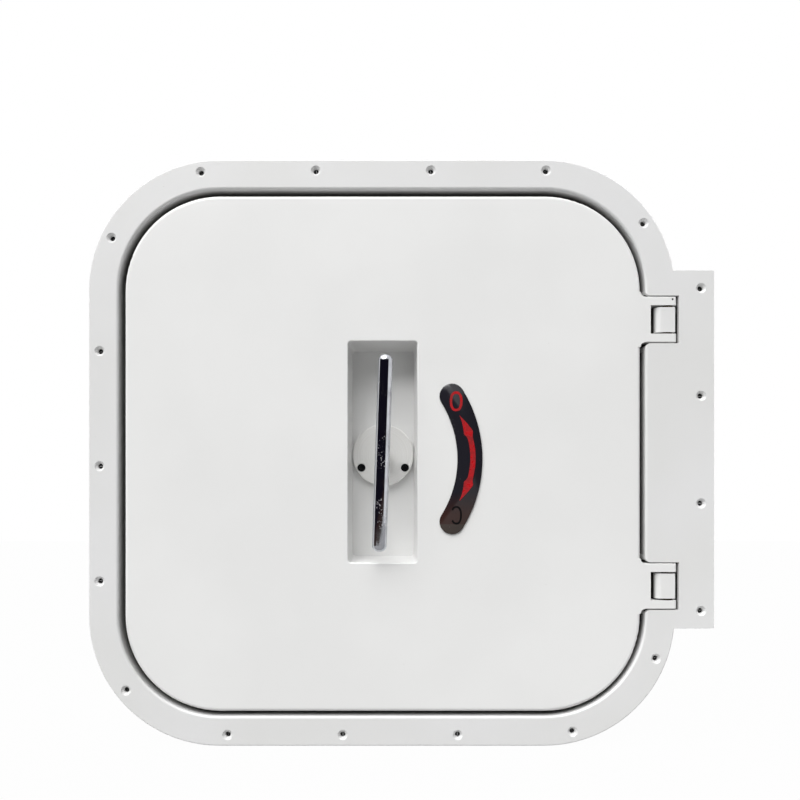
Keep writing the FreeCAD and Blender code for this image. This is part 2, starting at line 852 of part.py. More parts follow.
def make_bearing_housing():
    """Turned housing: the round flange on the recess floor and the barrel that holds the bushes."""
    bore = housing_bore_diameter / 2
    front_hole = spindle_diameter / 2 + seat_gap
    section = [
        point(front_hole, housing_front, 0),
        point(housing_flange_diameter / 2, housing_front, 0),
        point(housing_flange_diameter / 2, recess_depth, 0),
        point(housing_barrel_diameter / 2, recess_depth, 0),
        point(housing_barrel_diameter / 2, housing_back, 0),
        point(bore, housing_back, 0),
        point(bore, housing_bore_front, 0),
        point(front_hole, housing_bore_front, 0),
        point(front_hole, housing_front, 0),
    ]
    housing = Part.Face(Part.makePolygon(section)).revolve(origin, inboard, 360)
    flange_edge = math.pi * housing_flange_diameter
    housing = round_edges(
        housing,
        cam_edge_round,
        lambda edge: in_plane_y(edge, housing_front) and edge.Length > 0.9 * flange_edge,
    )
    cuts = []
    groove_radius = spindle_diameter / 2 + seat_gap + o_ring_cord
    for middle in o_ring_places():
        half = o_ring_cord / 2 + seat_gap
        cuts.append(round_bar(groove_radius, middle - half, middle + half))
    for x, z in housing_screw_places():
        cuts.append(round_bar(large_screw_diameter / 2 + screw_hole_gap, housing_front, recess_depth, x, z))
        head_radius = large_head_diameter / 2 + counterbore_gap
        cuts.append(round_bar(head_radius, housing_front, housing_screw_seat, x, z))
    return housing.cut(cuts)


def make_housing_screws():
    """Three socket-head screws in the housing's flange."""
    screws = []
    for x, z in housing_screw_places():
        screws.append(
            cap_screw(
                housing_screw_seat,
                housing_screw_end - housing_screw_seat,
                large_screw_diameter,
                large_head_diameter,
                large_head_height,
                large_socket_width,
                x,
                z,
                1,
            )
        )
    return Part.makeCompound(screws)


def make_front_bush():
    """The plain bush in front of the spindle's collar."""
    outer = housing_bore_diameter / 2
    inner = spindle_diameter / 2 + running_gap
    return tube(outer, inner, housing_bore_front, housing_bore_front + front_bush_length)


def make_rear_bush():
    """The plain bush behind the spindle's collar."""
    outer = housing_bore_diameter / 2
    inner = rear_journal_diameter / 2 + running_gap
    return tube(outer, inner, rear_bush_front, housing_back)


def make_thrust_washer():
    """The washer between the housing and the cam plate."""
    outer = thrust_washer_diameter / 2
    inner = rear_journal_diameter / 2 + running_gap
    return tube(outer, inner, housing_back, housing_back + thrust_washer_thickness)


def make_spindle_o_rings():
    """The rubber rings that keep water out along the spindle."""
    rings = []
    for middle in o_ring_places():
        radius = spindle_diameter / 2 + seat_gap + o_ring_cord / 2
        rings.append(Part.makeTorus(radius, o_ring_cord / 2, point(0, middle, 0), inboard))
    return Part.makeCompound(rings)


def guide_screw_places():
    """Centres of the two screws of the inner guide that lies towards +X."""
    middle = (inner_guide_inner + inner_guide_outer) / 2
    across = dog_width / 2 + guide_side_gap + guide_cheek / 2
    return [(middle, side * across) for side in (-1, 1)]


def make_mechanism_plate():
    """The round plate on the back of the pan, which the inner guides stand on."""
    plate = round_bar(mechanism_plate_diameter / 2, pan_back, plate_back)
    plate = round_edges(plate, cam_edge_round, lambda edge: in_plane_y(edge, plate_back))
    cuts = [round_bar(housing_barrel_diameter / 2 + seat_gap, pan_back, plate_back)]
    for x, z in housing_screw_places():
        cuts.append(round_bar(large_screw_diameter / 2 + thread_gap, pan_back, housing_screw_end, x, z))
    for angle in dog_directions.values():
        for x, z in guide_screw_places():
            hole = round_bar(small_screw_diameter / 2 + thread_gap, pan_back, plate_back, x, z)
            cuts.append(about_handle(hole, angle))
    return plate.cut(cuts)


def inner_guide_roof():
    """Back face of the inner guides."""
    return dog_rear_back + dog_running + guide_roof


def make_inner_guides():
    """Four saddles that hold the dogs down on the mechanism plate."""
    half = dog_width / 2 + guide_side_gap
    outer = half + guide_cheek
    roof = inner_guide_roof()
    saddle = block(inner_guide_inner, inner_guide_outer, plate_back, roof, -outer, outer)
    saddle = round_edges(
        saddle, guide_edge_round, lambda edge: in_plane_y(edge, roof) and edge.BoundBox.XLength > near
    )
    channel = block(inner_guide_inner, inner_guide_outer, plate_back, dog_rear_back + dog_running, -half, half)
    holes = [
        round_bar(small_screw_diameter / 2 + screw_hole_gap, plate_back, roof, x, z)
        for x, z in guide_screw_places()
    ]
    saddle = saddle.cut([channel] + holes)
    return Part.makeCompound([about_handle(saddle, angle) for angle in dog_directions.values()])


def make_guide_screws():
    """Two screws for each inner guide."""
    roof = inner_guide_roof()
    length = roof - pan_back
    screws = []
    for angle in dog_directions.values():
        for x, z in guide_screw_places():
            screw = cap_screw(
                roof,
                length,
                small_screw_diameter,
                small_head_diameter,
                small_head_height,
                small_socket_width,
                x,
                z,
                -1,
            )
            screws.append(about_handle(screw, angle))
    return Part.makeCompound(screws)


def make_outer_guides():
    """Four stirrups on the back of the leaf, near its edge, that take the dogs' load."""
    half = dog_width / 2 + guide_side_gap
    outer = half + guide_cheek
    roof = dog_back + dog_running + guide_roof
    shelf_back = dog_front - dog_running
    stirrup = block(outer_guide_inner, outer_guide_outer, leaf_plate, roof, -outer, outer)
    stirrup = round_edges(
        stirrup, guide_edge_round, lambda edge: in_plane_y(edge, roof) and edge.BoundBox.XLength > near
    )
    window = block(outer_guide_inner, outer_guide_outer, shelf_back, dog_back + dog_running, -half, half)
    hollow = block(
        outer_guide_inner, outer_guide_outer, leaf_plate, shelf_back - outer_guide_shelf, -half, half
    )
    stirrup = stirrup.cut([window, hollow])
    return Part.makeCompound([about_handle(stirrup, angle) for angle in dog_directions.values()])


def make_indicator_plate():
    """The arc-shaped plate with round ends beside the recess."""
    front = -label_thickness
    inner = label_radius - label_width / 2
    outer = label_radius + label_width / 2
    half_angle = math.radians(label_half_angle)

    def on_arc(radius, angle):
        x = label_centre_x + radius * math.cos(angle)
        return point(x, front, label_centre_z + radius * math.sin(angle))

    def round_end(side):
        middle = on_arc(label_radius, side * half_angle)
        forward = point(-math.sin(half_angle) * side, 0, math.cos(half_angle)) * side
        return middle + forward * (label_width / 2)

    edges = [
        arc(on_arc(outer, -half_angle), on_arc(outer, 0), on_arc(outer, half_angle)),
        arc(on_arc(outer, half_angle), round_end(1), on_arc(inner, half_angle)),
        arc(on_arc(inner, half_angle), on_arc(inner, 0), on_arc(inner, -half_angle)),
        arc(on_arc(inner, -half_angle), round_end(-1), on_arc(outer, -half_angle)),
    ]
    return Part.Face(Part.Wire(edges)).extrude(point(0, label_thickness, 0))


def grip_bar(diameter, length, end_round, y):
    """A round bar along Z with domed ends, centred on the handle's axis."""
    bar = Part.makeCylinder(diameter / 2, length, point(0, y, -length / 2), upward)
    return bar.makeFillet(end_round, [edge for edge in bar.Edges if edge.BoundBox.ZLength < near])


def lean(shape):
    """A copy turned to the handle's place at rest."""
    return about_handle(shape, -handle_lean)


def make_handle_bar():
    """The chromed bar in front of the recess."""
    bar = grip_bar(handle_diameter, handle_length, handle_end_round, handle_y)
    socket = round_bar(spindle_spigot_diameter / 2, handle_y, 0)
    return lean(bar.cut(socket))


def make_spindle():
    """Stepped shaft from the bar through the housing to the inner handle."""
    seat_end = inner_hub_back - drive_key_end
    steps = [
        (spindle_spigot_diameter, handle_y, handle_y + handle_diameter / 2),
        (spindle_diameter, handle_y, collar_front),
        (collar_diameter, collar_front, collar_back),
        (rear_journal_diameter, collar_back, cam_front),
        (drive_seat_diameter, cam_front, seat_end),
        (thread_diameter, seat_end, nut_back + thread_beyond_nut),
    ]
    bars = [round_bar(diameter / 2, start, end) for diameter, start, end in steps]
    grip = Part.makeCylinder(
        handle_diameter / 2, handle_length, point(0, handle_y, -handle_length / 2), upward
    )
    bars[1] = bars[1].cut(grip)
    spindle = bars[0].fuse(bars[1:]).removeSplitter()
    return lean(spindle.cut(drive_key_space()))


def drive_key_space():
    """The key's own outline, which is also the space that it takes."""
    seat = drive_seat_diameter / 2
    half = drive_key_width / 2
    return block(
        -half,
        half,
        cam_front + drive_key_end,
        inner_hub_back - 2 * drive_key_end,
        seat - drive_key_depth,
        seat + drive_key_proud,
    )


def make_drive_key():
    """The key that turns the cam plate and the inner handle with the spindle."""
    key = drive_key_space()
    return lean(key)


def spiral_slot(direction):
    """The space of one cam slot: its radius grows evenly with the handle's turn."""
    turn = math.radians(handle_turn)
    growth = dog_travel / turn
    half_width = dog_pin_diameter / 2 + slot_gap
    start_angle = math.radians(direction)

    def middle(turned):
        radius = dog_pin_start + growth * turned
        angle = start_angle + turned
        return point(radius * math.cos(angle), 0, radius * math.sin(angle))

    def forward(turned):
        radius = dog_pin_start + growth * turned
        angle = start_angle + turned
        out = point(math.cos(angle), 0, math.sin(angle)) * growth
        round_about = point(-math.sin(angle), 0, math.cos(angle)) * radius
        return (out + round_about).normalize()

    def side_curve(side):
        points = []
        steps = 8
        for step in range(steps + 1):
            turned = turn * step / steps
            ahead = forward(turned)
            points.append(middle(turned) + point(ahead.z, 0, -ahead.x) * (side * half_width))
        curve = Part.BSplineCurve()
        curve.interpolate(points)
        return points, curve.toShape()

    outer_points, outer_edge = side_curve(1)
    inner_points, inner_edge = side_curve(-1)
    far_end = arc(outer_points[-1], middle(turn) + forward(turn) * half_width, inner_points[-1])
    near_end = arc(inner_points[0], middle(0) - forward(0) * half_width, outer_points[0])
    wire = Part.Wire([outer_edge, far_end, inner_edge, near_end])
    slot = Part.Face(wire).extrude(point(0, cam_thickness, 0))
    slot.translate(point(0, cam_front, 0))
    return slot


def make_cam_plate():
    """Disc with four spiral slots and a hub; it turns the handle's turn into the dogs' travel."""
    disc = round_bar(cam_radius, cam_front, cam_back)
    disc = round_edges(disc, cam_edge_round, lambda edge: in_plane_y(edge, cam_front) or in_plane_y(edge, cam_back))
    hub = round_bar(cam_hub_diameter / 2, cam_back, cam_hub_back)
    cam = disc.fuse(hub)
    cuts = [spiral_slot(angle) for angle in dog_directions.values()]
    cuts.append(round_bar(drive_seat_diameter / 2, cam_front, cam_hub_back))
    cuts.append(lean(drive_key_space()))
    return cam.cut(cuts)


def make_inner_handle():
    """Hub with a cross bar, so that the hatch also opens from inside."""
    hub = round_bar(inner_hub_diameter / 2, cam_hub_back, inner_hub_back)
    hub = round_edges(hub, cam_edge_round, lambda edge: in_plane_y(edge, inner_hub_back))
    bar = grip_bar(inner_handle_diameter, inner_handle_length, handle_end_round, inner_handle_y)
    bore = round_bar(drive_seat_diameter / 2, cam_hub_back, inner_hub_back)
    return lean(hub.fuse(bar).cut([bore, drive_key_space()]))


def make_spindle_washer():
    """The washer under the spindle's nut."""
    return tube(washer_diameter / 2, thread_diameter / 2 + thread_gap, inner_hub_back, washer_back)


def make_spindle_nut():
    """The nut that clamps the inner handle and the cam plate on the spindle."""
    nut = hexagon(nut_width, washer_back, nut_back)
    return nut.cut(round_bar(thread_diameter / 2 + thread_gap, washer_back, nut_back))


def make_dog():
    """The dog towards +X at rest: a cranked flat bar, with a ramp at its tip."""
    drop = dog_rear_front - dog_front
    bend = math.atan2(drop, dog_bend_run)
    shift = dog_thickness * math.tan(bend / 2)
    bend_end = dog_bend_start + dog_bend_run
    inner_end = dog_pin_start - dog_inner_end
    half = dog_width / 2
    profile = [
        point(inner_end, dog_rear_front, -half),
        point(dog_bend_start, dog_rear_front, -half),
        point(bend_end, dog_front, -half),
        point(dog_tip - dog_ramp_length, dog_front, -half),
        point(dog_tip, dog_front + dog_ramp_height, -half),
        point(dog_tip, dog_back, -half),
        point(bend_end + shift, dog_back, -half),
        point(dog_bend_start + shift, dog_rear_back, -half),
        point(inner_end, dog_rear_back, -half),
    ]
    dog = polygon_solid(profile, point(0, 0, dog_width))
    dog = round_edges(
        dog,
        dog_tip_round,
        lambda edge: abs(edge.BoundBox.XMin - dog_tip) < near
        and edge.BoundBox.XLength < near
        and edge.BoundBox.YLength > near,
    )
    return dog.cut(round_bar(dog_pin_diameter / 2 + thread_gap, dog_rear_front, dog_rear_back, dog_pin_start, 0))


def make_dog_pin():
    """The pin of the dog towards +X, which runs in its cam slot."""
    pin = round_bar(dog_pin_diameter / 2, dog_rear_front, cam_back + dog_pin_beyond_cam, dog_pin_start, 0)
    return pin.makeChamfer(1.0, [edge for edge in pin.Edges if in_plane_y(edge, cam_back + dog_pin_beyond_cam)])


def strike_screw_places():
    """Centres of the two screws of the strike plate towards +X."""
    middle = opening_half + strike_set_back + strike_width / 2
    return [(middle, side * strike_screw_spacing / 2) for side in (-1, 1)]


def make_strike_plates():
    """Four wear plates on the ledge's back, each with a ramp towards the opening."""
    inner = opening_half + strike_set_back
    outer = inner + strike_width
    half = strike_length / 2
    profile = [
        point(inner, ledge_back, -half),
        point(outer, ledge_back, -half),
        point(outer, strike_back, -half),
        point(inner + strike_ramp, strike_back, -half),
        point(inner, strike_back - strike_ramp_height, -half),
    ]
    strike = polygon_solid(profile, point(0, 0, strike_length))
    for x, z in strike_screw_places():
        hole = countersunk_hole(
            strike_screw_diameter + 2 * thread_gap, strike_head_diameter, strike_back, strike_thickness, x, z, -1
        )
        strike = strike.cut(hole)
    return Part.makeCompound([about_handle(strike, angle) for angle in dog_directions.values()])


def make_strike_screws():
    """Two flush screws for each strike plate."""
    cone_depth = (strike_head_diameter - strike_screw_diameter) / 2
    screws = []
    for angle in dog_directions.values():
        for x, z in strike_screw_places():
            shank = round_bar(strike_screw_diameter / 2, strike_back - strike_screw_length, strike_back, x, z)
            head = Part.makeCone(
                strike_screw_diameter / 2,
                strike_head_diameter / 2 - thread_gap,
                cone_depth,
                point(x, strike_back - cone_depth, z),
                inboard,
            )
            socket = hexagon(strike_screw_diameter / 2, strike_back - cone_depth, strike_back, x, z)
            screws.append(about_handle(shank.fuse(head).cut(socket), angle))
    return Part.makeCompound(screws)


def main():
    """Builds every piece and writes one STEP file for each."""
    pieces = {
        "outer_frame": make_outer_frame(),
        "frame_coaming": make_frame_coaming(),
        "coaming_corners": make_coaming_corners(),
        "sealing_ledge": make_sealing_ledge(),
        "hinge_pocket_upper": make_hinge_pocket(hinge_heights["upper"]),
        "hinge_pocket_lower": make_hinge_pocket(hinge_heights["lower"]),
        "bedding_gasket": make_bedding_gasket(),
        "hinge_block_upper": make_hinge_block(hinge_heights["upper"]),
        "hinge_block_lower": make_hinge_block(hinge_heights["lower"]),
        "hinge_block_screws": make_hinge_block_screws(),
        "hinge_bushes": make_hinge_bushes(),
        "strike_plates": make_strike_plates(),
        "strike_screws": make_strike_screws(),
        "leaf_panel": make_leaf_panel(),
        "hinge_fork_upper": make_hinge_fork(hinge_heights["upper"]),
        "hinge_fork_lower": make_hinge_fork(hinge_heights["lower"]),
        "leaf_skirt": make_leaf_skirt(),
        "leaf_skirt_corners": make_leaf_skirt_corners(),
        "seal_retainer": make_seal_retainer(),
        "seal_retainer_corners": make_seal_retainer_corners(),
        "handle_recess_pan": make_handle_recess_pan(),
        "door_gasket": make_door_gasket(),
        "back_stiffeners": make_back_stiffeners(),
        "hinge_pin_upper": make_hinge_pin(hinge_heights["upper"]),
        "hinge_pin_lower": make_hinge_pin(hinge_heights["lower"]),
        "hinge_lock_pin": make_hinge_lock_pin(),
        "bearing_housing": make_bearing_housing(),
        "housing_screws": make_housing_screws(),
        "front_bush": make_front_bush(),
        "rear_bush": make_rear_bush(),
        "thrust_washer": make_thrust_washer(),
        "spindle_o_rings": make_spindle_o_rings(),
        "mechanism_plate": make_mechanism_plate(),
        "inner_guides": make_inner_guides(),
        "guide_screws": make_guide_screws(),
        "outer_guides": make_outer_guides(),
        "indicator_plate": make_indicator_plate(),
        "handle_bar": make_handle_bar(),
        "spindle": make_spindle(),
        "drive_key": make_drive_key(),
        "cam_plate": make_cam_plate(),
        "inner_handle": make_inner_handle(),
        "spindle_washer": make_spindle_washer(),
        "spindle_nut": make_spindle_nut(),
    }
    dog = make_dog()
    dog_pin = make_dog_pin()
    for name, angle in dog_directions.items():
        pieces["dog_" + name] = about_handle(dog, angle)
        pieces["dog_pin_" + name] = about_handle(dog_pin, angle)
    os.makedirs("parts", exist_ok=True)
    for name, shape in pieces.items():
        shape.exportStep(f"parts/{name}.step")
        solids = shape.Solids
        valid = all(solid.isValid() for solid in solids)
        print(name, len(solids), "valid" if valid else "INVALID", round(sum(s.Volume for s in solids)))


main()
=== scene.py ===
"""Studio scene of a flush watertight hatch: its finishes, its fine details, the lights and the camera.

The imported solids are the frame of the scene. Lengths here are in millimetres and are turned to metres as each
mesh is made. +X is to the right for someone outside, +Y goes inboard and +Z is up. The origin is the handle's
axis, in the plane of the hatch's outer face.
"""

import logging
import math
from collections.abc import Iterable, Sequence
from dataclasses import dataclass, field
from enum import Enum
from itertools import product
from typing import ClassVar

import bmesh
import bpy
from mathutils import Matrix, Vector

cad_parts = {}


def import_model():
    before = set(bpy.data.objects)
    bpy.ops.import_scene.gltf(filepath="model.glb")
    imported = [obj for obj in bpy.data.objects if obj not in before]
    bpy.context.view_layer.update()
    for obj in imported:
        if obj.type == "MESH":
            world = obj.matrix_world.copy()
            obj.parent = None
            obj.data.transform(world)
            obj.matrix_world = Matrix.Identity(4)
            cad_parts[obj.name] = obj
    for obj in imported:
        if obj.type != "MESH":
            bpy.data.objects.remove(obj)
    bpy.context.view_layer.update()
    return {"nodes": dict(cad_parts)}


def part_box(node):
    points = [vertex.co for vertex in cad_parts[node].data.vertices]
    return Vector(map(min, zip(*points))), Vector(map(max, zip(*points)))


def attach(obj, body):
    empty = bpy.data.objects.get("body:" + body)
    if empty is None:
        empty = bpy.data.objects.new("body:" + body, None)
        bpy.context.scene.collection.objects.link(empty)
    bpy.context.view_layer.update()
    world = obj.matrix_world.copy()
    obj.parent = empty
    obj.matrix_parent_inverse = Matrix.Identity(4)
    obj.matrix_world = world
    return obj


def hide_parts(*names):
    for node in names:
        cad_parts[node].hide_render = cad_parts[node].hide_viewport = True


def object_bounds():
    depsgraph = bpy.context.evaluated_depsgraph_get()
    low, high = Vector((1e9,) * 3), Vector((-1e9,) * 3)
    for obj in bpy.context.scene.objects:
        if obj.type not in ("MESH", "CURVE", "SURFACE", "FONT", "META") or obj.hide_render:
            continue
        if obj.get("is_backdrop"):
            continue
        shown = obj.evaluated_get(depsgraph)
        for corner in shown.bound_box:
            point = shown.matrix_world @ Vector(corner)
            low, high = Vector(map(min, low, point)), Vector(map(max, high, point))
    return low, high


LOG = logging.getLogger("hatch")
INBOARD = Vector((0.0, 1.0, 0.0))
UP = Vector((0.0, 0.0, 1.0))
RIGHT = Vector((1.0, 0.0, 0.0))
SIDES = (-1, 1)
Tree = bpy.types.NodeTree
Socket = bpy.types.NodeSocket
Source = bpy.types.Node | Socket
Settings = dict[str | int, object]
Links = dict[str | int, Source]


class Body(Enum):
    """The bodies that new pieces ride on."""

    FRAME = "frame"
    LEAF = "leaf"
    HANDLE = "handle"


class Slot(Enum):
    """The record's material slots, which new pieces keep with them."""

    FRAME_PAINT = "frame_paint"
    LEAF_PAINT = "leaf_paint"
    STEEL = "bright_steel"
    ZINC = "zinc_steel"
    RUBBER = "seal_rubber"
    LABEL = "label_acrylic"


def mm(value: float) -> float:
    """Turns millimetres to metres."""
    return value / 1000


def per_mm(size: float) -> float:
    """The scale of a texture whose features are as large as the size, in millimetres."""
    return 1000 / size


def srgb(code: str) -> tuple[float, float, float, float]:
    """Turns an sRGB hex value to a linear colour.

    Args:
        code: Six hex digits, such as "E4E4E2".

    Returns:
        Red, green, blue and an alpha of 1.
    """
    channels = [int(code[start : start + 2], 16) / 255 for start in (0, 2, 4)]
    linear = [c / 12.92 if c <= 0.04045 else ((c + 0.055) / 1.055) ** 2.4 for c in channels]
    return linear[0], linear[1], linear[2], 1.0


def add_node(
    tree: Tree,
    kind: str,
    settings: Settings | None = None,
    links: Links | None = None,
) -> bpy.types.Node:
    """Adds one node to a tree.

    Args:
        tree: The node tree.
        kind: The node's type.
        settings: Properties or unlinked inputs, by name or by index.
        links: Output sockets to join to inputs, by the input's name or index. A node stands for its first output.

    Returns:
        The new node.
    """
    node = tree.nodes.new(kind)
    for name, value in (settings or {}).items():
        if isinstance(name, str) and hasattr(node, name):
            setattr(node, name, value)
        else:
            node.inputs[name].default_value = value
    for name, source in (links or {}).items():
        socket = source.outputs[0] if isinstance(source, bpy.types.Node) else source
        tree.links.new(socket, node.inputs[name])
    return node


def span(low: float, high: float, least: float = 0.0, most: float = 1.0) -> Settings:
    """The settings that spread the values from low to high over the range from least to most."""
    return {"From Min": low, "From Max": high, "To Min": least, "To Max": most}


def soft_edge(place: float, width: float) -> Settings:
    """The settings of a step from 0 to 1 at a place; a width below 0 makes it fall instead."""
    return span(place - width / 2, place + width / 2)


def tints(over: str, under: str = "000000") -> Settings:
    """The settings that mix a colour over another one, or over what is linked in its place."""
    return {"data_type": "RGBA", 6: srgb(under), 7: srgb(over)}


@dataclass(frozen=True)
class Pattern:
    """An amount that changes over the object: the values from low to high, spread from least to most."""

    low: float = 0.0
    high: float = 1.0
    least: float = 0.0
    most: float = 1.0
    times: "Pattern | None" = None

    def value(self, tree: Tree, place: Socket) -> Source:
        """Adds what gives the pattern's values at each place."""
        raise NotImplementedError

    def add(self, tree: Tree, place: Socket) -> bpy.types.Node:
        """Adds the pattern to a tree.

        Args:
            tree: The node tree.
            place: The socket that gives places on the object.

        Returns:
            The node that gives the amount.
        """
        limits = span(self.low, self.high, self.least, self.most)
        amount = add_node(tree, "ShaderNodeMapRange", limits, {"Value": self.value(tree, place)})
        if self.times is None:
            return amount
        both = {0: amount, 1: self.times.add(tree, place)}
        return add_node(tree, "ShaderNodeMath", {"operation": "MULTIPLY"}, both)


@dataclass(frozen=True)
class Patches(Pattern):
    """Soft patches of noise, with their size in millimetres."""

    size: float = 1.0
    detail: float = 2.0
    roughness: float = 0.5
    distortion: float = 0.0

    def value(self, tree: Tree, place: Socket) -> Source:
        """Adds the noise."""
        kind = {"Detail": self.detail, "Roughness": self.roughness, "Distortion": self.distortion}
        return add_node(tree, "ShaderNodeTexNoise", {"Scale": per_mm(self.size)} | kind, {"Vector": place})


@dataclass(frozen=True)
class Specks(Pattern):
    """Scattered round specks, by the distance from the nearest one's middle as a share of their spacing."""

    spacing: float = 1.0

    def value(self, tree: Tree, place: Socket) -> Source:
        """Adds the cells round the specks."""
        return add_node(tree, "ShaderNodeTexVoronoi", {"Scale": per_mm(self.spacing)}, {"Vector": place})


@dataclass(frozen=True)
class Rings(Pattern):
    """Uneven rings about the handle's axis, as far apart as the pitch in millimetres."""

    pitch: float = 1.0

    def value(self, tree: Tree, place: Socket) -> Source:
        """Adds noise that changes only with the distance from the axis.

        Args:
            tree: The node tree.
            place: The socket that gives places on the object.

        Returns:
            The noise.
        """
        level = add_node(tree, "ShaderNodeVectorMath", {"operation": "MULTIPLY", 1: (1.0, 0.0, 1.0)}, {0: place})
        radius = add_node(tree, "ShaderNodeVectorMath", {"operation": "LENGTH"}, {0: level}).outputs["Value"]
        marks = {"noise_dimensions": "1D", "Scale": per_mm(self.pitch)}
        return add_node(tree, "ShaderNodeTexNoise", marks, {"W": radius})


@dataclass(frozen=True)
class Along(Pattern):
    """The place along one axis, in metres."""

    axis: str = "Z"

    def value(self, tree: Tree, place: Socket) -> Source:
        """Adds the place along the axis."""
        return add_node(tree, "ShaderNodeSeparateXYZ", links={0: place}).outputs[self.axis]


@dataclass(frozen=True)
class Facing(Pattern):
    """How far a face looks away from a centre, in metres of its distance from there."""

    centre: tuple[float, float, float] = (0.0, 0.0, 0.0)

    def value(self, tree: Tree, place: Socket) -> Source:
        """Adds the share of the way from the centre that lies along the normal.

        Args:
            tree: The node tree.
            place: The socket that gives places on the object.

        Returns:
            The share.
        """
        centre = {"operation": "SUBTRACT", 1: tuple(mm(value) for value in self.centre)}
        arm = add_node(tree, "ShaderNodeVectorMath", centre, {0: place})
        links = {0: place.node.outputs["Normal"], 1: arm}
        return add_node(tree, "ShaderNodeVectorMath", {"operation": "DOT_PRODUCT"}, links).outputs["Value"]


@dataclass(frozen=True)
class Layer:
    """What comes with a pattern: a colour over all that lies under it, more or less roughness, or both."""

    pattern: Pattern
    colour: str = ""
    rougher: float = 0.0


@dataclass(frozen=True)
class Finish:
    """A finish: a colour and a roughness under its layers, a relief in millimetres, and the shader's values."""

    label: str
    colour: str
    roughness: float
    layers: tuple[Layer, ...]
    relief: Pattern | None = None
    depth: float = 0.0
    metallic: float = 0.0
    ior: float | None = None
    varnish: float = 0.0
    varnish_roughness: float = 0.03

    def build(self) -> bpy.types.Material:
        """Makes the material.

        Returns:
            The material.
        """
        material = bpy.data.materials.new(self.label)
        material.use_nodes = True
        tree = material.node_tree
        tree.nodes.clear()
        place = add_node(tree, "ShaderNodeTexCoord").outputs["Object"]
        colour: Links = {}
        gloss: Links = {}
        for layer in self.layers:
            amount = layer.pattern.add(tree, place)
            if layer.colour:
                mixed = add_node(tree, "ShaderNodeMix", tints(layer.colour, self.colour), {0: amount} | colour)
                colour = {6: mixed.outputs[2]}
            if layer.rougher:
                settings = {"operation": "MULTIPLY_ADD", 1: layer.rougher, 2: self.roughness}
                gloss = {2: add_node(tree, "ShaderNodeMath", settings, {0: amount} | gloss)}
        links = {"Base Color": colour[6], "Roughness": gloss[2]}
        if self.relief is not None:
            height = {"Height": self.relief.add(tree, place)}
            links["Normal"] = add_node(tree, "ShaderNodeBump", {"Distance": mm(self.depth)}, height)
        values = {"Base Color": srgb(self.colour), "Roughness": self.roughness, "Metallic": self.metallic}
        values |= {"Coat Weight": self.varnish, "Coat Roughness": self.varnish_roughness}
        if self.ior is not None:
            values["IOR"] = self.ior
        shader = add_node(tree, "ShaderNodeBsdfPrincipled", values, links)
        add_node(tree, "ShaderNodeOutputMaterial", links={"Surface": shader})
        return material


def specks(colour: str, spacing: float, size: float, most: float) -> Layer:
    """A layer of specks.

    Args:
        colour: Their colour.
        spacing: How far they are apart, in millimetres.
        size: How wide one is, in millimetres.
        most: How much a speck's middle covers.

    Returns:
        The layer.
    """
    reach = size / spacing / 2
    return Layer(Specks(reach / 2, reach, most, 0.0, spacing=spacing), colour)


def gap_shade(
    colour: str, start: float, full: float, side: float = 1.0, centre: tuple[float, float, float] = (0.0, 0.0, 0.0)
) -> Layer:
    """A layer of painted shade down in a gap, on the faces that look one way.

    Args:
        colour: Its colour.
        start: The depth where it starts, in millimetres.
        full: The depth from which it covers all.
        side: 1 for the faces that look away from the centre, -1 for those that look towards it.
        centre: The place that the faces are judged from.

    Returns:
        The layer.
    """
    return Layer(Along(mm(start), mm(full), axis="Y", times=Facing(0.0, side * mm(2.0), centre=centre)), colour)


def enamel(
    name: str, colour: str, shade: str = "E3E3E2", painted_shade: tuple[Layer, ...] = (), base: float = 0.37, peel: float = 2.4
) -> Finish:
    """Two-pack enamel sprayed on steel: half-glossy white, with faint orange peel and a few specks of grit.

    Args:
        name: What its label says after the enamel.
        colour: Its colour.
        shade: The colour of its slow clouds.
        painted_shade: Layers of painted shade on it, dark down in gaps.
        base: The roughness of its glossiest places.
        peel: The size of the peel, in millimetres.

    Returns:
        The finish.
    """
    clouds = Layer(Patches(0.4, 0.6, size=190.0), shade)
    gloss = Layer(Patches(0.3, 0.7, size=26.0), rougher=0.1)
    layers = (clouds, specks("A9A6A0", spacing=30.0, size=0.9, most=0.8), *painted_shade, gloss)
    varnish = {"ior": 1.48, "varnish": 0.1, "varnish_roughness": 0.1}
    return Finish(f"enamel_{name}", colour, base, layers, Patches(size=peel), 0.02, **varnish)


def worked_metal(label: str, colour: str, shade: str, base: float, grain: float = 1.4, grease: str = "") -> Finish:
    """Bare or plated metal of a working part: cloudy in colour and gloss, with the grain of its making.

    Args:
        label: Its label.
        colour: Its colour.
        shade: The colour of its clouds.
        base: The roughness of its brightest places.
        grain: The size of the grain, in millimetres.
        grease: The colour of the grease that is smeared over it, where there is any.

    Returns:
        The finish.
    """
    layers = [Layer(Patches(0.35, 0.65, size=14.0, detail=4.0), shade)]
    if grease:
        layers.append(Layer(Patches(0.46, 0.8, most=0.5, size=28.0, detail=3.0, distortion=0.6), grease))
    layers.append(Layer(Patches(0.3, 0.7, size=14.0, detail=4.0), rougher=0.18))
    return Finish(label, colour, base, tuple(layers), Patches(size=grain, detail=3.0), 0.012, metallic=1.0)


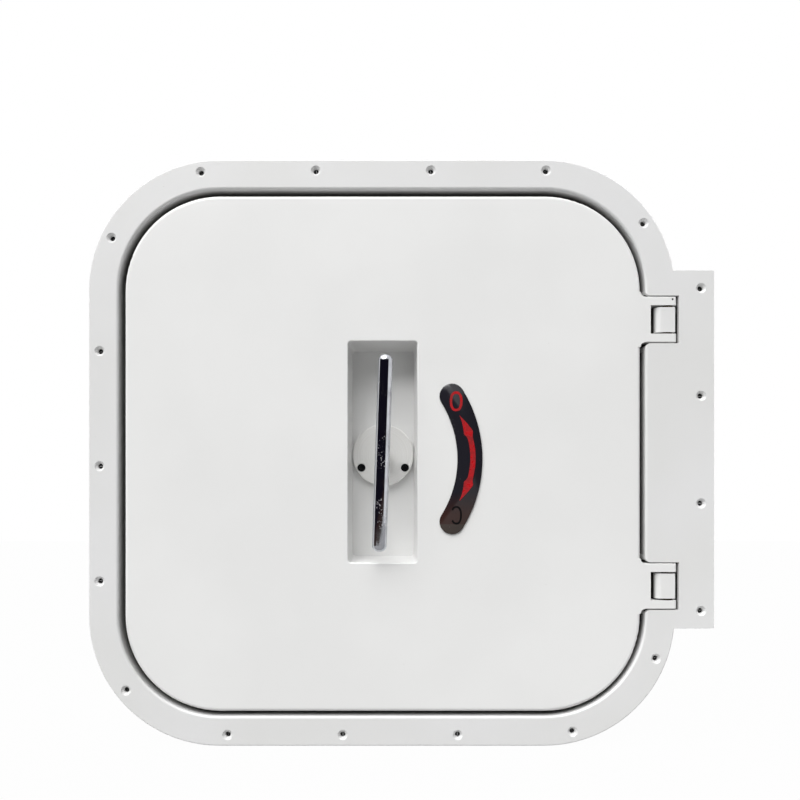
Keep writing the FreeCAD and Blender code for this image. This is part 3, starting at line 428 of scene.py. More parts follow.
class Coat(Enum):
    """The finishes of the hatch."""

    FRAME_PAINT = enamel("white_frame", "E1E1E1", "DEDEDD")
    LEAF_PAINT = enamel("white_leaf", "E9E9E8", "E6E6E5", base=0.35)
    # The frame's white, with painted shade: darker down in the gap round the leaf
    COAMING_PAINT = enamel("coaming_painted_shade", "E1E1E1", painted_shade=(gap_shade("5C5A57", 5.0, 18.0, -1.0),))
    # The leaf's white with the same painted shade on the skirt's outer face, darker down in the gap
    SKIRT_PAINT = enamel("skirt_painted_shade", "E9E9E8", painted_shade=(gap_shade("5C5A57", 3.0, 14.0),), base=0.35)
    # Painted shade: almost black down inside the hinges' pockets
    UPPER_POCKET_PAINT = enamel(
        "upper_pocket_painted_shade", "E1E1E1", painted_shade=(gap_shade("242321", -0.5, 5.0, -1.0, (350.0, 12.0, 166.5)),)
    )
    LOWER_POCKET_PAINT = enamel(
        "lower_pocket_painted_shade", "E1E1E1", painted_shade=(gap_shade("242321", -0.5, 5.0, -1.0, (350.0, 12.0, -164.5)),)
    )
    # White knuckles with painted shade: their rounded sides go dark down in the slots
    KNUCKLE_PAINT = enamel("knuckle_painted_shade", "DEDEDE", painted_shade=(gap_shade("2C2A28", 3.5, 9.0, 1.0, (355.0, 26.0, 0.0)),))
    # Thinner paint over the beads lets a little more of the peel and the shade show
    WELD_PAINT = enamel("over_weld", "E2E2E1", "D6D5D2", base=0.4, peel=1.4)
    # Stainless steel faced in a lathe and dulled, almost as pale as the paint. Its tool marks, about 0.1 mm
    # apart on a real one, are drawn 0.8 mm apart, so that they show
    HOUSING = Finish(
        "turned_stainless_steel",
        "F0F0EE",
        0.45,
        (Layer(Rings(0.35, 0.65, pitch=0.8), "E6E5E2"), Layer(Patches(0.3, 0.7, size=16.0), rougher=0.1)),
        Rings(pitch=0.8),
        0.012,
        metallic=0.35,
    )
    # A dark mirror of the room, smeared by hands, with matt scraps of old film and glue in places
    CHROME = Finish(
        "handled_chrome",
        "D0D2D8",
        0.05,
        (
            Layer(Patches(0.48, 0.7, size=22.0, detail=4.0), "B4B6BC", 0.08),
            Layer(
                Patches(
                    0.59, 0.64, most=0.7, size=2.4, detail=4.0, roughness=0.65, times=Patches(0.46, 0.54, size=40.0)
                ),
                "D8D5D6",
                0.55,
            ),
        ),
        Patches(size=9.0),
        0.03,
        metallic=1.0,
    )
    # Ground pins, strikes and the inner handle: bright, with a fine grain
    STEEL = worked_metal("ground_steel", "C9C8C4", "A9A7A2", 0.21, grain=0.8)
    # Cold blue-grey plating, cloudy from the bath
    ZINC = worked_metal("zinc_plated_steel", "B9BABC", "9FA3A8", 0.27)
    # The same plating where dark grease is smeared over it
    GREASED = worked_metal("greased_zinc_steel", "B4B4B2", "989A9C", 0.25, grease="3A342C")
    # Warm brown-gold of turned bearing bronze
    BRONZE = worked_metal("bearing_bronze", "B98B4E", "9A6F3A", 0.25, grain=0.9)
    # The hinges' bushes: brown turned almost black by oil
    OILED_BRONZE = worked_metal("oiled_bronze", "4C3A26", "2E241A", 0.31, grease="14110E")
    # Blackened screws, oily, with steel showing on their worn edges
    SCREWS = Finish(
        "black_oxide_steel",
        "1C1C1E",
        0.42,
        (Layer(Patches(0.56, 0.81, size=3.5, detail=4.0), "504E4C", -0.12),),
        Patches(size=1.2),
        0.01,
        metallic=0.8,
    )
    # Matt black closed-cell rubber with a grey bloom and fine pores
    RUBBER = Finish(
        "closed_cell_rubber",
        "161616",
        0.8,
        (Layer(Patches(0.45, 0.7, size=20.0, detail=4.0), "262625", -0.12),),
        Patches(size=0.9),
        0.05,
    )
    # Polished black acrylic with dust on it, and a painted reflection: browner towards its lower end, and grey-brown
    # below a sharp line near that end
    ACRYLIC = Finish(
        "black_cast_acrylic",
        "212026",
        0.06,
        (
            # Painted reflection: a brown gradient towards the lower end, then a grey-brown band below a sharp line
            Layer(Along(mm(-76.0), mm(-48.0), 1.0, 0.0), "37231F"),
            Layer(Along(mm(-88.2), mm(-87.0), 1.0, 0.0), "3C322D"),
            specks("8A8A8C", spacing=6.5, size=0.7, most=0.5),
            Layer(Patches(0.3, 0.7, size=9.0, detail=4.0), rougher=0.08),
        ),
        ior=1.49,
        varnish=0.2,
    )
    # Flat ink, thinner in places and less glossy than the plate
    RED_INK = Finish(
        "red_screen_ink",
        "B5181F",
        0.27,
        (Layer(Patches(0.42, 0.68, size=5.0, detail=4.0), "8E1418", 0.15),),
        ior=1.5,
    )
    BLACK_INK = Finish(
        "black_screen_ink",
        "050304",
        0.45,
        (Layer(Patches(0.42, 0.68, size=5.0, detail=4.0), "090506", 0.15),),
        ior=1.2,
    )

    def material(self) -> bpy.types.Material:
        """The finish's material, made when it is first asked for."""
        return bpy.data.materials.get(self.value.label) or self.value.build()


def box_mm(node: str) -> tuple[Vector, Vector]:
    """The lowest and highest corners of a CAD node at rest, in millimetres."""
    low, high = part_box(node)
    return low * 1000, high * 1000


def points_mm(node: str) -> list[Vector]:
    """The vertices of a CAD node at rest, in millimetres."""
    return [vertex.co * 1000 for vertex in bpy.data.objects[node].data.vertices]


def turned(angle: float) -> Vector:
    """The direction at an angle in radians round the handle's axis, from the right upwards."""
    return Vector((math.cos(angle), 0, math.sin(angle)))


@dataclass
class Piece:
    """A new piece in the making: what it is, its points in millimetres and the faces between them."""

    name: str
    coat: Coat
    body: Body
    slot: Slot
    crease: float = 35.0
    replaces: str = ""
    points: list[Vector] = field(default_factory=list)
    faces: list[tuple[int, ...]] = field(default_factory=list)

    def skin(self, rows: Sequence[Sequence[Vector]], ring: bool) -> None:
        """Adds a surface through rows of points.

        Args:
            rows: Rows that all have the same number of points and close on themselves.
            ring: Whether the last row joins the first one. Otherwise a face closes each end.
        """
        first = len(self.points)
        width = len(rows[0])
        for row in rows:
            self.points.extend(row)
        for index in range(len(rows) if ring else len(rows) - 1):
            here = first + index * width
            there = first + (index + 1) % len(rows) * width
            for step in range(width):
                following = (step + 1) % width
                self.faces.append((here + step, here + following, there + following, there + step))
        if not ring:
            self.faces.append(tuple(range(first, first + width)))
            self.faces.append(tuple(range(len(self.points) - width, len(self.points))))

    def make(self) -> None:
        """Makes the piece and fixes it to its body."""
        mesh = bpy.data.meshes.new(self.name)
        mesh.from_pydata([place / 1000 for place in self.points], [], self.faces)
        shell = bmesh.new()
        shell.from_mesh(mesh)
        bmesh.ops.recalc_face_normals(shell, faces=shell.faces)
        shell.to_mesh(mesh)
        shell.free()
        mesh.polygons.foreach_set("use_smooth", [True] * len(mesh.polygons))
        mesh.set_sharp_from_angle(angle=math.radians(self.crease))
        mesh.materials.append(self.coat.material())
        piece = bpy.data.objects.new(self.name, mesh)
        bpy.context.scene.collection.objects.link(piece)
        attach(piece, self.body.value)
        if self.replaces:
            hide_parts(self.replaces)
        LOG.info("%s: %d faces, rides on %s", self.name, len(mesh.polygons), self.body.value)


def weld_piece(name: str, body: Body) -> Piece:
    """A piece for painted welds on the frame or on the leaf."""
    return Piece(name, Coat.WELD_PAINT, body, Slot.FRAME_PAINT if body is Body.FRAME else Slot.LEAF_PAINT)


Coats = dict[Coat, tuple[str, ...]]


class Assembly:
    """A sub-assembly of the hatch: the coats of its CAD nodes, and the pieces that it adds to them."""

    coats: ClassVar[Coats] = {}

    def pieces(self) -> Iterable[Piece]:
        """The pieces that it adds."""
        return ()

    def build(self, nodes: dict[str, bpy.types.Object]) -> None:
        """Coats the CAD nodes and makes the new pieces.

        Args:
            nodes: All the CAD nodes by name.
        """
        for coat, names in self.coats.items():
            for name in names:
                nodes[name].data.materials.clear()
                nodes[name].data.materials.append(coat.material())
            LOG.info("%s: %s", coat.value.label, ", ".join(names))
        for piece in self.pieces():
            piece.make()


@dataclass(frozen=True)
class Station:
    """One place on a path, and the two directions in which a section is drawn there."""

    place: Vector
    side: Vector
    up: Vector


@dataclass(frozen=True)
class StraightPath:
    """A straight path with the same two directions all along."""

    start: Vector
    end: Vector
    side: Vector
    up: Vector

    @property
    def length(self) -> float:
        """The path's length."""
        return (self.end - self.start).length

    def at(self, distance: float) -> Station:
        """The station at a distance along the path."""
        return Station(self.start.lerp(self.end, distance / self.length), self.side, self.up)


@dataclass(frozen=True)
class RoundedPath:
    """A rectangle with round corners in a plane across Y.

    The side direction points away from the rectangle, or into it where inwards is set. A path that is flat
    swaps the two directions, for a seam that lies on a wall instead of in a corner.
    """

    centre: Vector
    half_x: float
    half_z: float
    radius: float
    inwards: bool = False
    flat: bool = False

    @property
    def bend(self) -> float:
        """The length of one round corner."""
        return math.pi / 2 * self.radius

    @property
    def length(self) -> float:
        """The length all round."""
        return 4 * (self.half_x + self.half_z - 2 * self.radius) + 4 * self.bend

    def at(self, distance: float) -> Station:
        """Finds a place on the path, from the lower end of the right side upwards.

        Args:
            distance: How far it is along the path, in millimetres.

        Returns:
            The station there.
        """
        x, z = self.half_x - self.radius, self.half_z - self.radius
        corners = [Vector((x, 0, z)), Vector((-x, 0, z)), Vector((-x, 0, -z)), Vector((x, 0, -z))]
        left = distance % self.length
        for turn, corner in enumerate(corners):
            straight = (corner - corners[turn - 1]).length
            angle = 90.0 * turn
            if left <= straight:
                middle = corners[turn - 1].lerp(corner, left / straight)
                break
            left -= straight
            if left <= self.bend:
                middle = corner
                angle += math.degrees(left / self.radius)
                break
            left -= self.bend
        normal = turned(math.radians(angle))
        place = self.centre + middle + normal * self.radius
        if self.flat:
            return Station(place, INBOARD, normal)
        return Station(place, -normal if self.inwards else normal, INBOARD)


@dataclass(frozen=True)
class SaddlePath:
    """The line where a bar along Z enters a round hub along Y; side is 1 above the hub and -1 below it."""

    middle_y: float
    bar_radius: float
    hub_radius: float
    side: int

    @property
    def length(self) -> float:
        """The length round the bar."""
        return 2 * math.pi * self.bar_radius

    def at(self, distance: float) -> Station:
        """Finds a place on the path.

        Args:
            distance: How far it is round the bar, in millimetres.

        Returns:
            The station there.
        """
        angle = distance / self.bar_radius
        outwards = Vector((math.cos(angle), math.sin(angle), 0))
        x = self.bar_radius * outwards.x
        height = math.sqrt(self.hub_radius**2 - x**2) * self.side
        place = Vector((x, self.middle_y + self.bar_radius * outwards.y, height))
        return Station(place, outwards, UP * self.side)


Path = StraightPath | RoundedPath | SaddlePath


@dataclass(frozen=True)
class WeldBead:
    """A fillet weld: a swelling strip in a corner, with the crescent ripples of its making.

    Real ripples are about 1 mm apart. They are drawn 2.6 mm apart, so that they show under the paint.
    """

    leg: float = 4.0
    arc: float = 90.0
    height: float = 1.0
    ripple_pitch: float = 2.6
    ripple_depth: float = 0.13
    crescent: float = 1.6
    waves: tuple[tuple[float, float, float], ...] = ((0.05, 0.21, 0.0), (0.04, 0.47, 1.0))
    end_size: float = 0.3
    parts: int = 6
    step: float = 0.9

    def row(self, station: Station, distance: float, end: float) -> list[Vector]:
        """The bead's section at one station, from one leg to the other.

        Args:
            station: Where the section is.
            distance: How far along the bead it is.
            end: How much of its full size it has, which falls off at the bead's ends.

        Returns:
            The points of the section, from the corner round over the face of the bead.
        """
        points = [station.place.copy()]
        for part in range(self.parts + 1):
            across = 2 * part / self.parts - 1
            ripple = abs(math.sin(math.pi * (distance + self.crescent * across**2) / self.ripple_pitch))
            wander = sum(share * math.sin(distance * rate + phase) for share, rate, phase in self.waves)
            angle = math.radians(self.arc) * part / self.parts
            over, along = math.sin(angle), math.cos(angle)
            bulge = 0.5 + 0.5 / (abs(over) + abs(along))
            reach = self.leg * end * bulge * (1 - self.ripple_depth * ripple + wander)
            points.append(station.place + station.side * along * reach + station.up * over * reach * self.height)
        return points

    def lay(self, piece: Piece, path: Path, start: float = 0.0, length: float | None = None) -> None:
        """Lays the bead along a path.

        Args:
            piece: The piece that gets the bead.
            path: The path along the corner.
            start: Where on the path it starts.
            length: How long it is; with none it goes all the way and closes on itself.
        """
        whole = path.length if length is None else length
        count = max(4, round(whole / self.step))
        rows = []
        for index in range(count if length is None else count + 1):
            distance = whole * index / count
            from_end = min(distance, whole - distance) / self.leg
            end = 1.0 if length is None else min(1.0, self.end_size + from_end)
            rows.append(self.row(path.at(start + distance), distance, end))
        piece.skin(rows, ring=length is None)

    def run(self, piece: Piece, foot: Vector, along: Vector, side: Vector, up: Vector) -> None:
        """Lays a straight bead.

        Args:
            piece: The piece that gets the bead.
            foot: Where it starts.
            along: Its direction and its length.
            side: The direction of one leg.
            up: The direction of the other leg.
        """
        self.lay(piece, StraightPath(foot, foot + along, side, up), 0.0, along.length)


@dataclass(frozen=True)
class FrameWeldment(Assembly):
    """The drilled flange with the coaming, the hinge pockets and the sealing ledge behind it."""

    coats: ClassVar[Coats] = {
        Coat.FRAME_PAINT: ("outer_frame", "sealing_ledge"),
        Coat.COAMING_PAINT: ("frame_coaming", "coaming_corners"),
        Coat.UPPER_POCKET_PAINT: ("hinge_pocket_upper",),
        Coat.LOWER_POCKET_PAINT: ("hinge_pocket_lower",),
    }
    corner_radius: float = 131.0
    seam: WeldBead = WeldBead(2.6, arc=180.0, height=0.45)
    pocket_bead: WeldBead = WeldBead(3.5)
    above_gasket: float = 0.4

    def pieces(self) -> Iterable[Piece]:
        """The welds of the frame."""
        return self.ledge_seam(), self.bar_seams(), self.pocket_welds()

    def outline(self) -> tuple[Vector, float, float]:
        """Measures the coaming's outer faces.

        Returns:
            Their centre, at the height where the welds across the coaming start, and their half sizes.
        """
        low, high = box_mm("sealing_ledge")
        centre = (low + high) / 2
        centre.y = box_mm("bedding_gasket")[1].y + self.above_gasket
        return centre, (high.x - low.x) / 2, (high.z - low.z) / 2

    def ledge_seam(self) -> Piece:
        """The flat weld that joins the ledge to the coaming, seen from outside the wall.

        Returns:
            The weld.
        """
        centre, half_x, half_z = self.outline()
        centre.y = box_mm("coaming_corners")[1].y
        piece = weld_piece("weld_seam_ledge", Body.FRAME)
        self.seam.lay(piece, RoundedPath(centre, half_x, half_z, self.corner_radius, flat=True))
        return piece

    def bar_seams(self) -> Piece:
        """The butt welds across the coaming, where its flat bars meet the bent ones.

        Returns:
            The six welds that show.
        """
        centre, half_x, half_z = self.outline()
        across = INBOARD * (box_mm("coaming_corners")[1].y - centre.y)
        piece = weld_piece("weld_seams_coaming", Body.FRAME)
        for side in SIDES:
            x = side * (half_x - self.corner_radius)
            for over in SIDES:
                self.seam.run(piece, centre + Vector((x, 0, over * half_z)), across, RIGHT, UP * over)
            z = side * (half_z - self.corner_radius)
            self.seam.run(piece, centre + Vector((-half_x, 0, z)), across, UP, -RIGHT)
        return piece

    def pocket_welds(self) -> Piece:
        """The fillet welds between the hinge pockets and the coaming's straight part.

        Returns:
            The welds of both pockets.
        """
        centre, half_x, _ = self.outline()
        piece = weld_piece("weld_beads_hinge_pockets", Body.FRAME)
        for name in ("hinge_pocket_upper", "hinge_pocket_lower"):
            low, high = box_mm(name)
            for side, z in ((-1, low.z), (1, high.z)):
                if abs(z - centre.z) <= half_x - self.corner_radius:
                    foot = Vector((centre.x + half_x, centre.y, z))
                    self.pocket_bead.run(piece, foot, INBOARD * (high.y - centre.y), RIGHT, UP * side)
        return piece


@dataclass(frozen=True)
class Bedding(Assembly):
    """The rubber sheet behind the flange, whose screw holes are closed by a slit skin until a screw goes in; the dark
    skins stand in as painted shade for what is seen through the holes.
    """

    coats: ClassVar[Coats] = {Coat.RUBBER: ("bedding_gasket",)}
    hole_radius: float = 3.8
    widest_hole: float = 8.4
    skin_depth: float = 0.4
    skin_thickness: float = 0.9
    flap_curl: float = 0.35
    slit: float = 0.12
    steps: int = 4
    turns: int = 7

    def pieces(self) -> Iterable[Piece]:
        """The skins in the sheet's holes.

        Returns:
            All the skins, each cut into four flaps.
        """
        piece = Piece("bedding_gasket_skins", Coat.RUBBER, Body.FRAME, Slot.RUBBER)
        for centre in self.holes():
            for quarter in range(4):
                self.flap(piece, centre, math.pi / 2 * quarter)
        return (piece,)

    def holes(self) -> list[Vector]:
        """Finds the centres of the sheet's round holes, on the flange's side of it.

        Returns:
            One place for each hole.
        """
        mesh = bmesh.new()
        mesh.from_mesh(bpy.data.objects["bedding_gasket"].data)
        mesh.verts.ensure_lookup_table()
        front = min(vertex.co.y for vertex in mesh.verts) + mm(0.01)
        rims: list[set[int]] = []
        for edge in mesh.edges:
            on_wall = any(abs(face.normal.y) < 0.5 for face in edge.link_faces)
            if on_wall and all(vertex.co.y < front for vertex in edge.verts):
                ends = {vertex.index for vertex in edge.verts}
                joined = ends.union(*(rim for rim in rims if rim & ends))
                rims = [rim for rim in rims if not rim & ends] + [joined]
        centres = []
        for rim in rims:
            places = [mesh.verts[index].co * 1000 for index in rim]
            low = Vector([min(place[axis] for place in places) for axis in range(3)])
            high = Vector([max(place[axis] for place in places) for axis in range(3)])
            if 0 < high.x - low.x < self.widest_hole:
                centres.append((low + high) / 2)
        mesh.free()
        return centres

    def flap(self, piece: Piece, centre: Vector, turn: float) -> None:
        """Adds one of the four flaps of a slit skin.

        Args:
            piece: The piece that gets the flap.
            centre: The hole's centre.
            turn: The angle in radians at which the flap starts.
        """
        rows = []
        for ring in range(self.steps + 1):
            radius = self.hole_radius * (0.05 + 0.95 * ring / self.steps)
            edge = self.slit / radius
            curl = self.flap_curl * (1 - ring / self.steps) ** 2
            front = []
            for part in range(self.turns + 1):
                angle = edge + (math.pi / 2 - 2 * edge) * part / self.turns
                depth = self.skin_depth + curl * math.sin(2 * angle)
                front.append(centre + turned(turn + angle) * radius + INBOARD * depth)
            rows.append(front + [place + INBOARD * self.skin_thickness for place in reversed(front)])
        piece.skin(rows, ring=False)


@dataclass(frozen=True)
class Hinges(Assembly):
    """The fixed knuckles in their pockets, with their pins, bushes and screws."""

    coats: ClassVar[Coats] = {
        Coat.KNUCKLE_PAINT: ("hinge_block_upper", "hinge_block_lower"),
        Coat.STEEL: ("hinge_pin_upper", "hinge_pin_lower"),
        Coat.OILED_BRONZE: ("hinge_bushes",),
        Coat.SCREWS: ("hinge_block_screws", "hinge_lock_pin"),
    }


@dataclass(frozen=True)
class Leaf(Assembly):
    """The swinging panel: its face plate, forks, edge walls and stiffeners, and the welds between them."""

    coats: ClassVar[Coats] = {
        Coat.LEAF_PAINT: (
            "leaf_panel",
            "hinge_fork_upper",
            "hinge_fork_lower",
            "seal_retainer",
            "seal_retainer_corners",
            "back_stiffeners",
        ),
        Coat.SKIRT_PAINT: ("leaf_skirt", "leaf_skirt_corners"),
    }
    bead: WeldBead = WeldBead(3.6)
    stitch: float = 36.0
    stitch_places: tuple[float, ...] = (-264.0, -158.0, -60.0, 60.0, 158.0, 264.0)
    retainer_pitch: float = 118.0
    retainer_start: float = 0.3
    retainer_corner: float = 91.0
    retainer_reach: float = 9.0
    fork_bead: WeldBead = WeldBead(2.6)
    fork_inset: float = 6.0

    def pieces(self) -> Iterable[Piece]:
        """The welds of the leaf."""
        return self.stiffener_stitches(), self.crossing_welds(), self.retainer_stitches(), self.fork_welds()

    def bars(self) -> tuple[float, float, float, float, float]:
        """Measures the stiffeners on their mesh.

        Returns:
            How far the middles of the upright and of the level bars are from the axis, half a bar's thickness,
            and the bars' base and top.
        """
        points = points_mm("back_stiffeners")
        reach_x, reach_z = max(place.x for place in points), max(place.z for place in points)
        ends = [abs(place.x) for place in points if place.z > reach_z - 1]
        level = max(abs(place.z) for place in points if place.x > reach_x - 1)
        half = (max(ends) - min(ends)) / 2
        base, top = min(place.y for place in points), max(place.y for place in points)
        return max(ends) - half, level - half, half, base, top

    def stiffener_stitches(self) -> Piece:
        """Short fillet welds along both sides of each stiffener.

        Returns:
            All the stitches.
        """
        upright, level, half, base, _ = self.bars()
        piece = weld_piece("weld_stitches_stiffeners", Body.LEAF)
        for bar, face in product(SIDES, repeat=2):
            x, z = bar * upright + face * half, bar * level + face * half
            for middle in self.stitch_places:
                start = middle - self.stitch / 2
                self.bead.run(piece, Vector((x, base, start)), UP * self.stitch, RIGHT * face, INBOARD)
                self.bead.run(piece, Vector((start, base, z)), RIGHT * self.stitch, UP * face, INBOARD)
        return piece

    def crossing_welds(self) -> Piece:
        """Upright fillet welds in the four corners where two stiffeners cross.

        Returns:
            The welds at the four crossings.
        """
        upright, level, half, base, top = self.bars()
        piece = weld_piece("weld_beads_crossings", Body.LEAF)
        for side_x, side_z, over_x, over_z in product(SIDES, repeat=4):
            foot = Vector((side_x * upright + over_x * half, base, side_z * level + over_z * half))
            self.bead.run(piece, foot, INBOARD * (top - base), RIGHT * over_x, UP * over_z)
        return piece

    def retainer_stitches(self) -> Piece:
        """Short fillet welds along the inner foot of the wall inside the seal.

        Returns:
            All the stitches.
        """
        low, high = box_mm("seal_retainer")
        edge = high.x - self.retainer_reach
        inner = min(abs(place.x) for place in points_mm("seal_retainer") if abs(place.x) > edge)
        path = RoundedPath(Vector((0, low.y, 0)), inner, inner, self.retainer_corner, inwards=True)
        piece = weld_piece("weld_stitches_seal_retainer", Body.LEAF)
        count = round(path.length / self.retainer_pitch)
        for index in range(count):
            self.bead.lay(piece, path, path.length * (index + self.retainer_start) / count, self.stitch)
        return piece

    def fork_welds(self) -> Piece:
        """Fillet welds between the back of each fork and the leaf's edge wall.

        Returns:
            The welds of both forks.
        """
        piece = weld_piece("weld_beads_forks", Body.LEAF)
        edge = box_mm("leaf_skirt")[1].x
        for name in ("hinge_fork_upper", "hinge_fork_lower"):
            low, high = box_mm(name)
            foot = Vector((edge, high.y, low.z + self.fork_inset))
            self.fork_bead.run(piece, foot, UP * (high.z - low.z - 2 * self.fork_inset), RIGHT, INBOARD)
        return piece


@dataclass(frozen=True)
class Seals(Assembly):
    """The rubber seal of the leaf, set by the bead that it closes on, and the rings on the spindle."""

    coats: ClassVar[Coats] = {Coat.RUBBER: ("spindle_o_rings",)}
    corner_radius: float = 104.0
    edge_round: float = 1.5
    imprint_width: float = 4.6
    imprint_depth: float = 0.9
    imprint_power: float = 0.7
    step: float = 6.0

    def pieces(self) -> Iterable[Piece]:
        """The seal, drawn along its channel.

        Returns:
            The seal.
        """
        low, high = box_mm("door_gasket")
        half = (high.x + box_mm("seal_retainer")[1].x) / 2
        path = RoundedPath(Vector((0, low.y, 0)), half, half, self.corner_radius)
        section = self.section((high.x - half) * 2, high.y - low.y)
        count = round(path.length / self.step)
        rows = []
        for index in range(count):
            station = path.at(path.length * index / count)
            rows.append([station.place + station.side * across + station.up * over for across, over in section])
        piece = Piece("leaf_seal", Coat.RUBBER, Body.LEAF, Slot.RUBBER, 50.0, "door_gasket")
        piece.skin(rows, ring=True)
        return (piece,)

    def section(self, width: float, height: float) -> list[tuple[float, float]]:
        """The seal's section: flat sides, round back edges and a groove pressed in by the frame's bead.

        Args:
            width: The width across the channel.
            height: The height from the leaf's plate to the seal's back.

        Returns:
            Points across the seal and up it.
        """
        half = width / 2
        points = [(-half, 0.0), (-half, height - self.edge_round)]
        points += self.quarter(-half + self.edge_round, height - self.edge_round, 180.0)
        for part in range(-4, 5):
            across = self.imprint_width / 2 * part / 4
            depth = self.imprint_depth * math.cos(math.pi / 2 * part / 4) ** self.imprint_power
            points.append((across, height - depth))
        points += self.quarter(half - self.edge_round, height - self.edge_round, 90.0)
        return [*points, (half, 0.0)]

    def quarter(self, x: float, y: float, start: float) -> list[tuple[float, float]]:
        """Points of a round edge that turns back by a quarter from the start angle in degrees."""
        angles = [math.radians(start - 22.5 * step) for step in range(1, 5)]
        return [(x + self.edge_round * math.cos(a), y + self.edge_round * math.sin(a)) for a in angles]


@dataclass(frozen=True)
class Recess(Assembly):
    """The pan behind the leaf, and the weld all round its foot."""

    coats: ClassVar[Coats] = {Coat.LEAF_PAINT: ("handle_recess_pan",)}
    corner_radius: float = 8.0
    bead: WeldBead = WeldBead(4.2)

    def pieces(self) -> Iterable[Piece]:
        """The weld round the pan.

        Returns:
            The weld.
        """
        low, high = box_mm("handle_recess_pan")
        foot = Vector(((low.x + high.x) / 2, low.y, (low.z + high.z) / 2))
        piece = weld_piece("weld_bead_recess_pan", Body.LEAF)
        self.bead.lay(piece, RoundedPath(foot, (high.x - low.x) / 2, (high.z - low.z) / 2, self.corner_radius))
        return (piece,)


@dataclass(frozen=True)
class Bearing(Assembly):
    """The round housing on the recess floor and what turns or seals in it."""

    coats: ClassVar[Coats] = {
        Coat.HOUSING: ("bearing_housing",),
        Coat.SCREWS: ("housing_screws",),
        Coat.BRONZE: ("front_bush", "rear_bush", "thrust_washer"),
    }


@dataclass(frozen=True)
class HandleGear(Assembly):
    """The chromed bar, the spindle with its thread, and the handle inside with its washer and nut."""

    coats: ClassVar[Coats] = {
        Coat.CHROME: ("handle_bar",),
        Coat.STEEL: ("spindle", "inner_handle", "drive_key"),
        Coat.ZINC: ("spindle_washer",),
    }
    thread_pitch: float = 1.75
    thread_crest: float = 0.16
    thread_root: float = 0.3
    thread_flank: float = 0.42
    thread_fade: int = 8
    thread_turns: float = 1.6
    thread_steps: int = 48
    nut_chamfer: float = 1.4
    nut_points: int = 72
    bar_end: float = 20.0
    bead: WeldBead = WeldBead(3.2, step=0.6)

    def pieces(self) -> Iterable[Piece]:
        """The nut, the thread and the welds."""
        return self.nut(), self.thread(), self.welds()

    def thread_radius(self) -> float:
        """Measures the spindle's threaded end on its mesh.

        Returns:
            Its radius in millimetres.
        """
        points = points_mm("spindle")
        end = max(place.y for place in points)
        return max(math.hypot(place.x, place.z) for place in points if place.y > end - 0.1)

    def nut(self) -> Piece:
        """A hexagonal nut whose corners are turned off at both faces.

        Returns:
            The nut.
        """
        low, high = box_mm("spindle_nut")
        half = min(high.x - low.x, high.z - low.z) / 2
        corner = half / math.cos(math.radians(30))
        flat_turn = 30.0 if high.z - low.z < high.x - low.x else 0.0
        bore = self.thread_radius()
        rows = []
        for index in range(self.nut_points):
            angle = 2 * math.pi * index / self.nut_points
            from_flat = math.radians((math.degrees(angle) + 30 + flat_turn) % 60 - 30)
            reach = half / math.cos(from_flat)
            levels = (0.0, 0.25, 0.6, 1.0)
            edge = [(min(reach, half + (corner - half) * level), self.nut_chamfer * level) for level in levels]
            section = [(bore, low.y), *((out, low.y + rise) for out, rise in edge)]
            section += [*((out, high.y - rise) for out, rise in reversed(edge)), (bore, high.y)]
            rows.append([turned(angle) * out + INBOARD * y for out, y in section])
        piece = Piece("spindle_hex_nut", Coat.ZINC, Body.HANDLE, Slot.ZINC, replaces="spindle_nut")
        piece.skin(rows, ring=True)
        return piece

    def thread(self) -> Piece:
        """The crest of the thread on the spindle's end, which shows past the nut.

        Returns:
            The crest, as one winding strip.
        """
        radius = self.thread_radius()
        end = box_mm("spindle")[1].y
        start = end - self.thread_turns * self.thread_pitch
        steps = round(self.thread_turns * self.thread_steps)
        half = self.thread_pitch * self.thread_flank
        rows = []
        for index in range(steps + 1):
            turn = index / self.thread_steps
            middle = start + self.thread_pitch * turn
            crest = self.thread_crest * min(1.0, index / self.thread_fade, (steps - index) / self.thread_fade)
            root = radius - self.thread_root
            section = [(root, middle - half), (radius + crest, middle), (root, middle + half)]
            out = turned(2 * math.pi * turn)
            rows.append([out * reach + INBOARD * min(level, end) for reach, level in section])
        piece = Piece("spindle_thread", Coat.STEEL, Body.HANDLE, Slot.STEEL)
        piece.skin(rows, ring=False)
        return piece

    def welds(self) -> Piece:
        """The welds where the inner bar enters its hub.

        Returns:
            The welds of both arms.
        """
        low, high = box_mm("inner_handle")
        levels = [place.y for place in points_mm("inner_handle") if place.z > high.z - self.bar_end]
        front, back = min(levels), max(levels)
        piece = Piece("weld_beads_inner_handle", Coat.STEEL, Body.HANDLE, Slot.STEEL)
        for side in SIDES:
            path = SaddlePath((back + front) / 2, (back - front) / 2, (high.x - low.x) / 2, side)
            self.bead.lay(piece, path)
        return piece


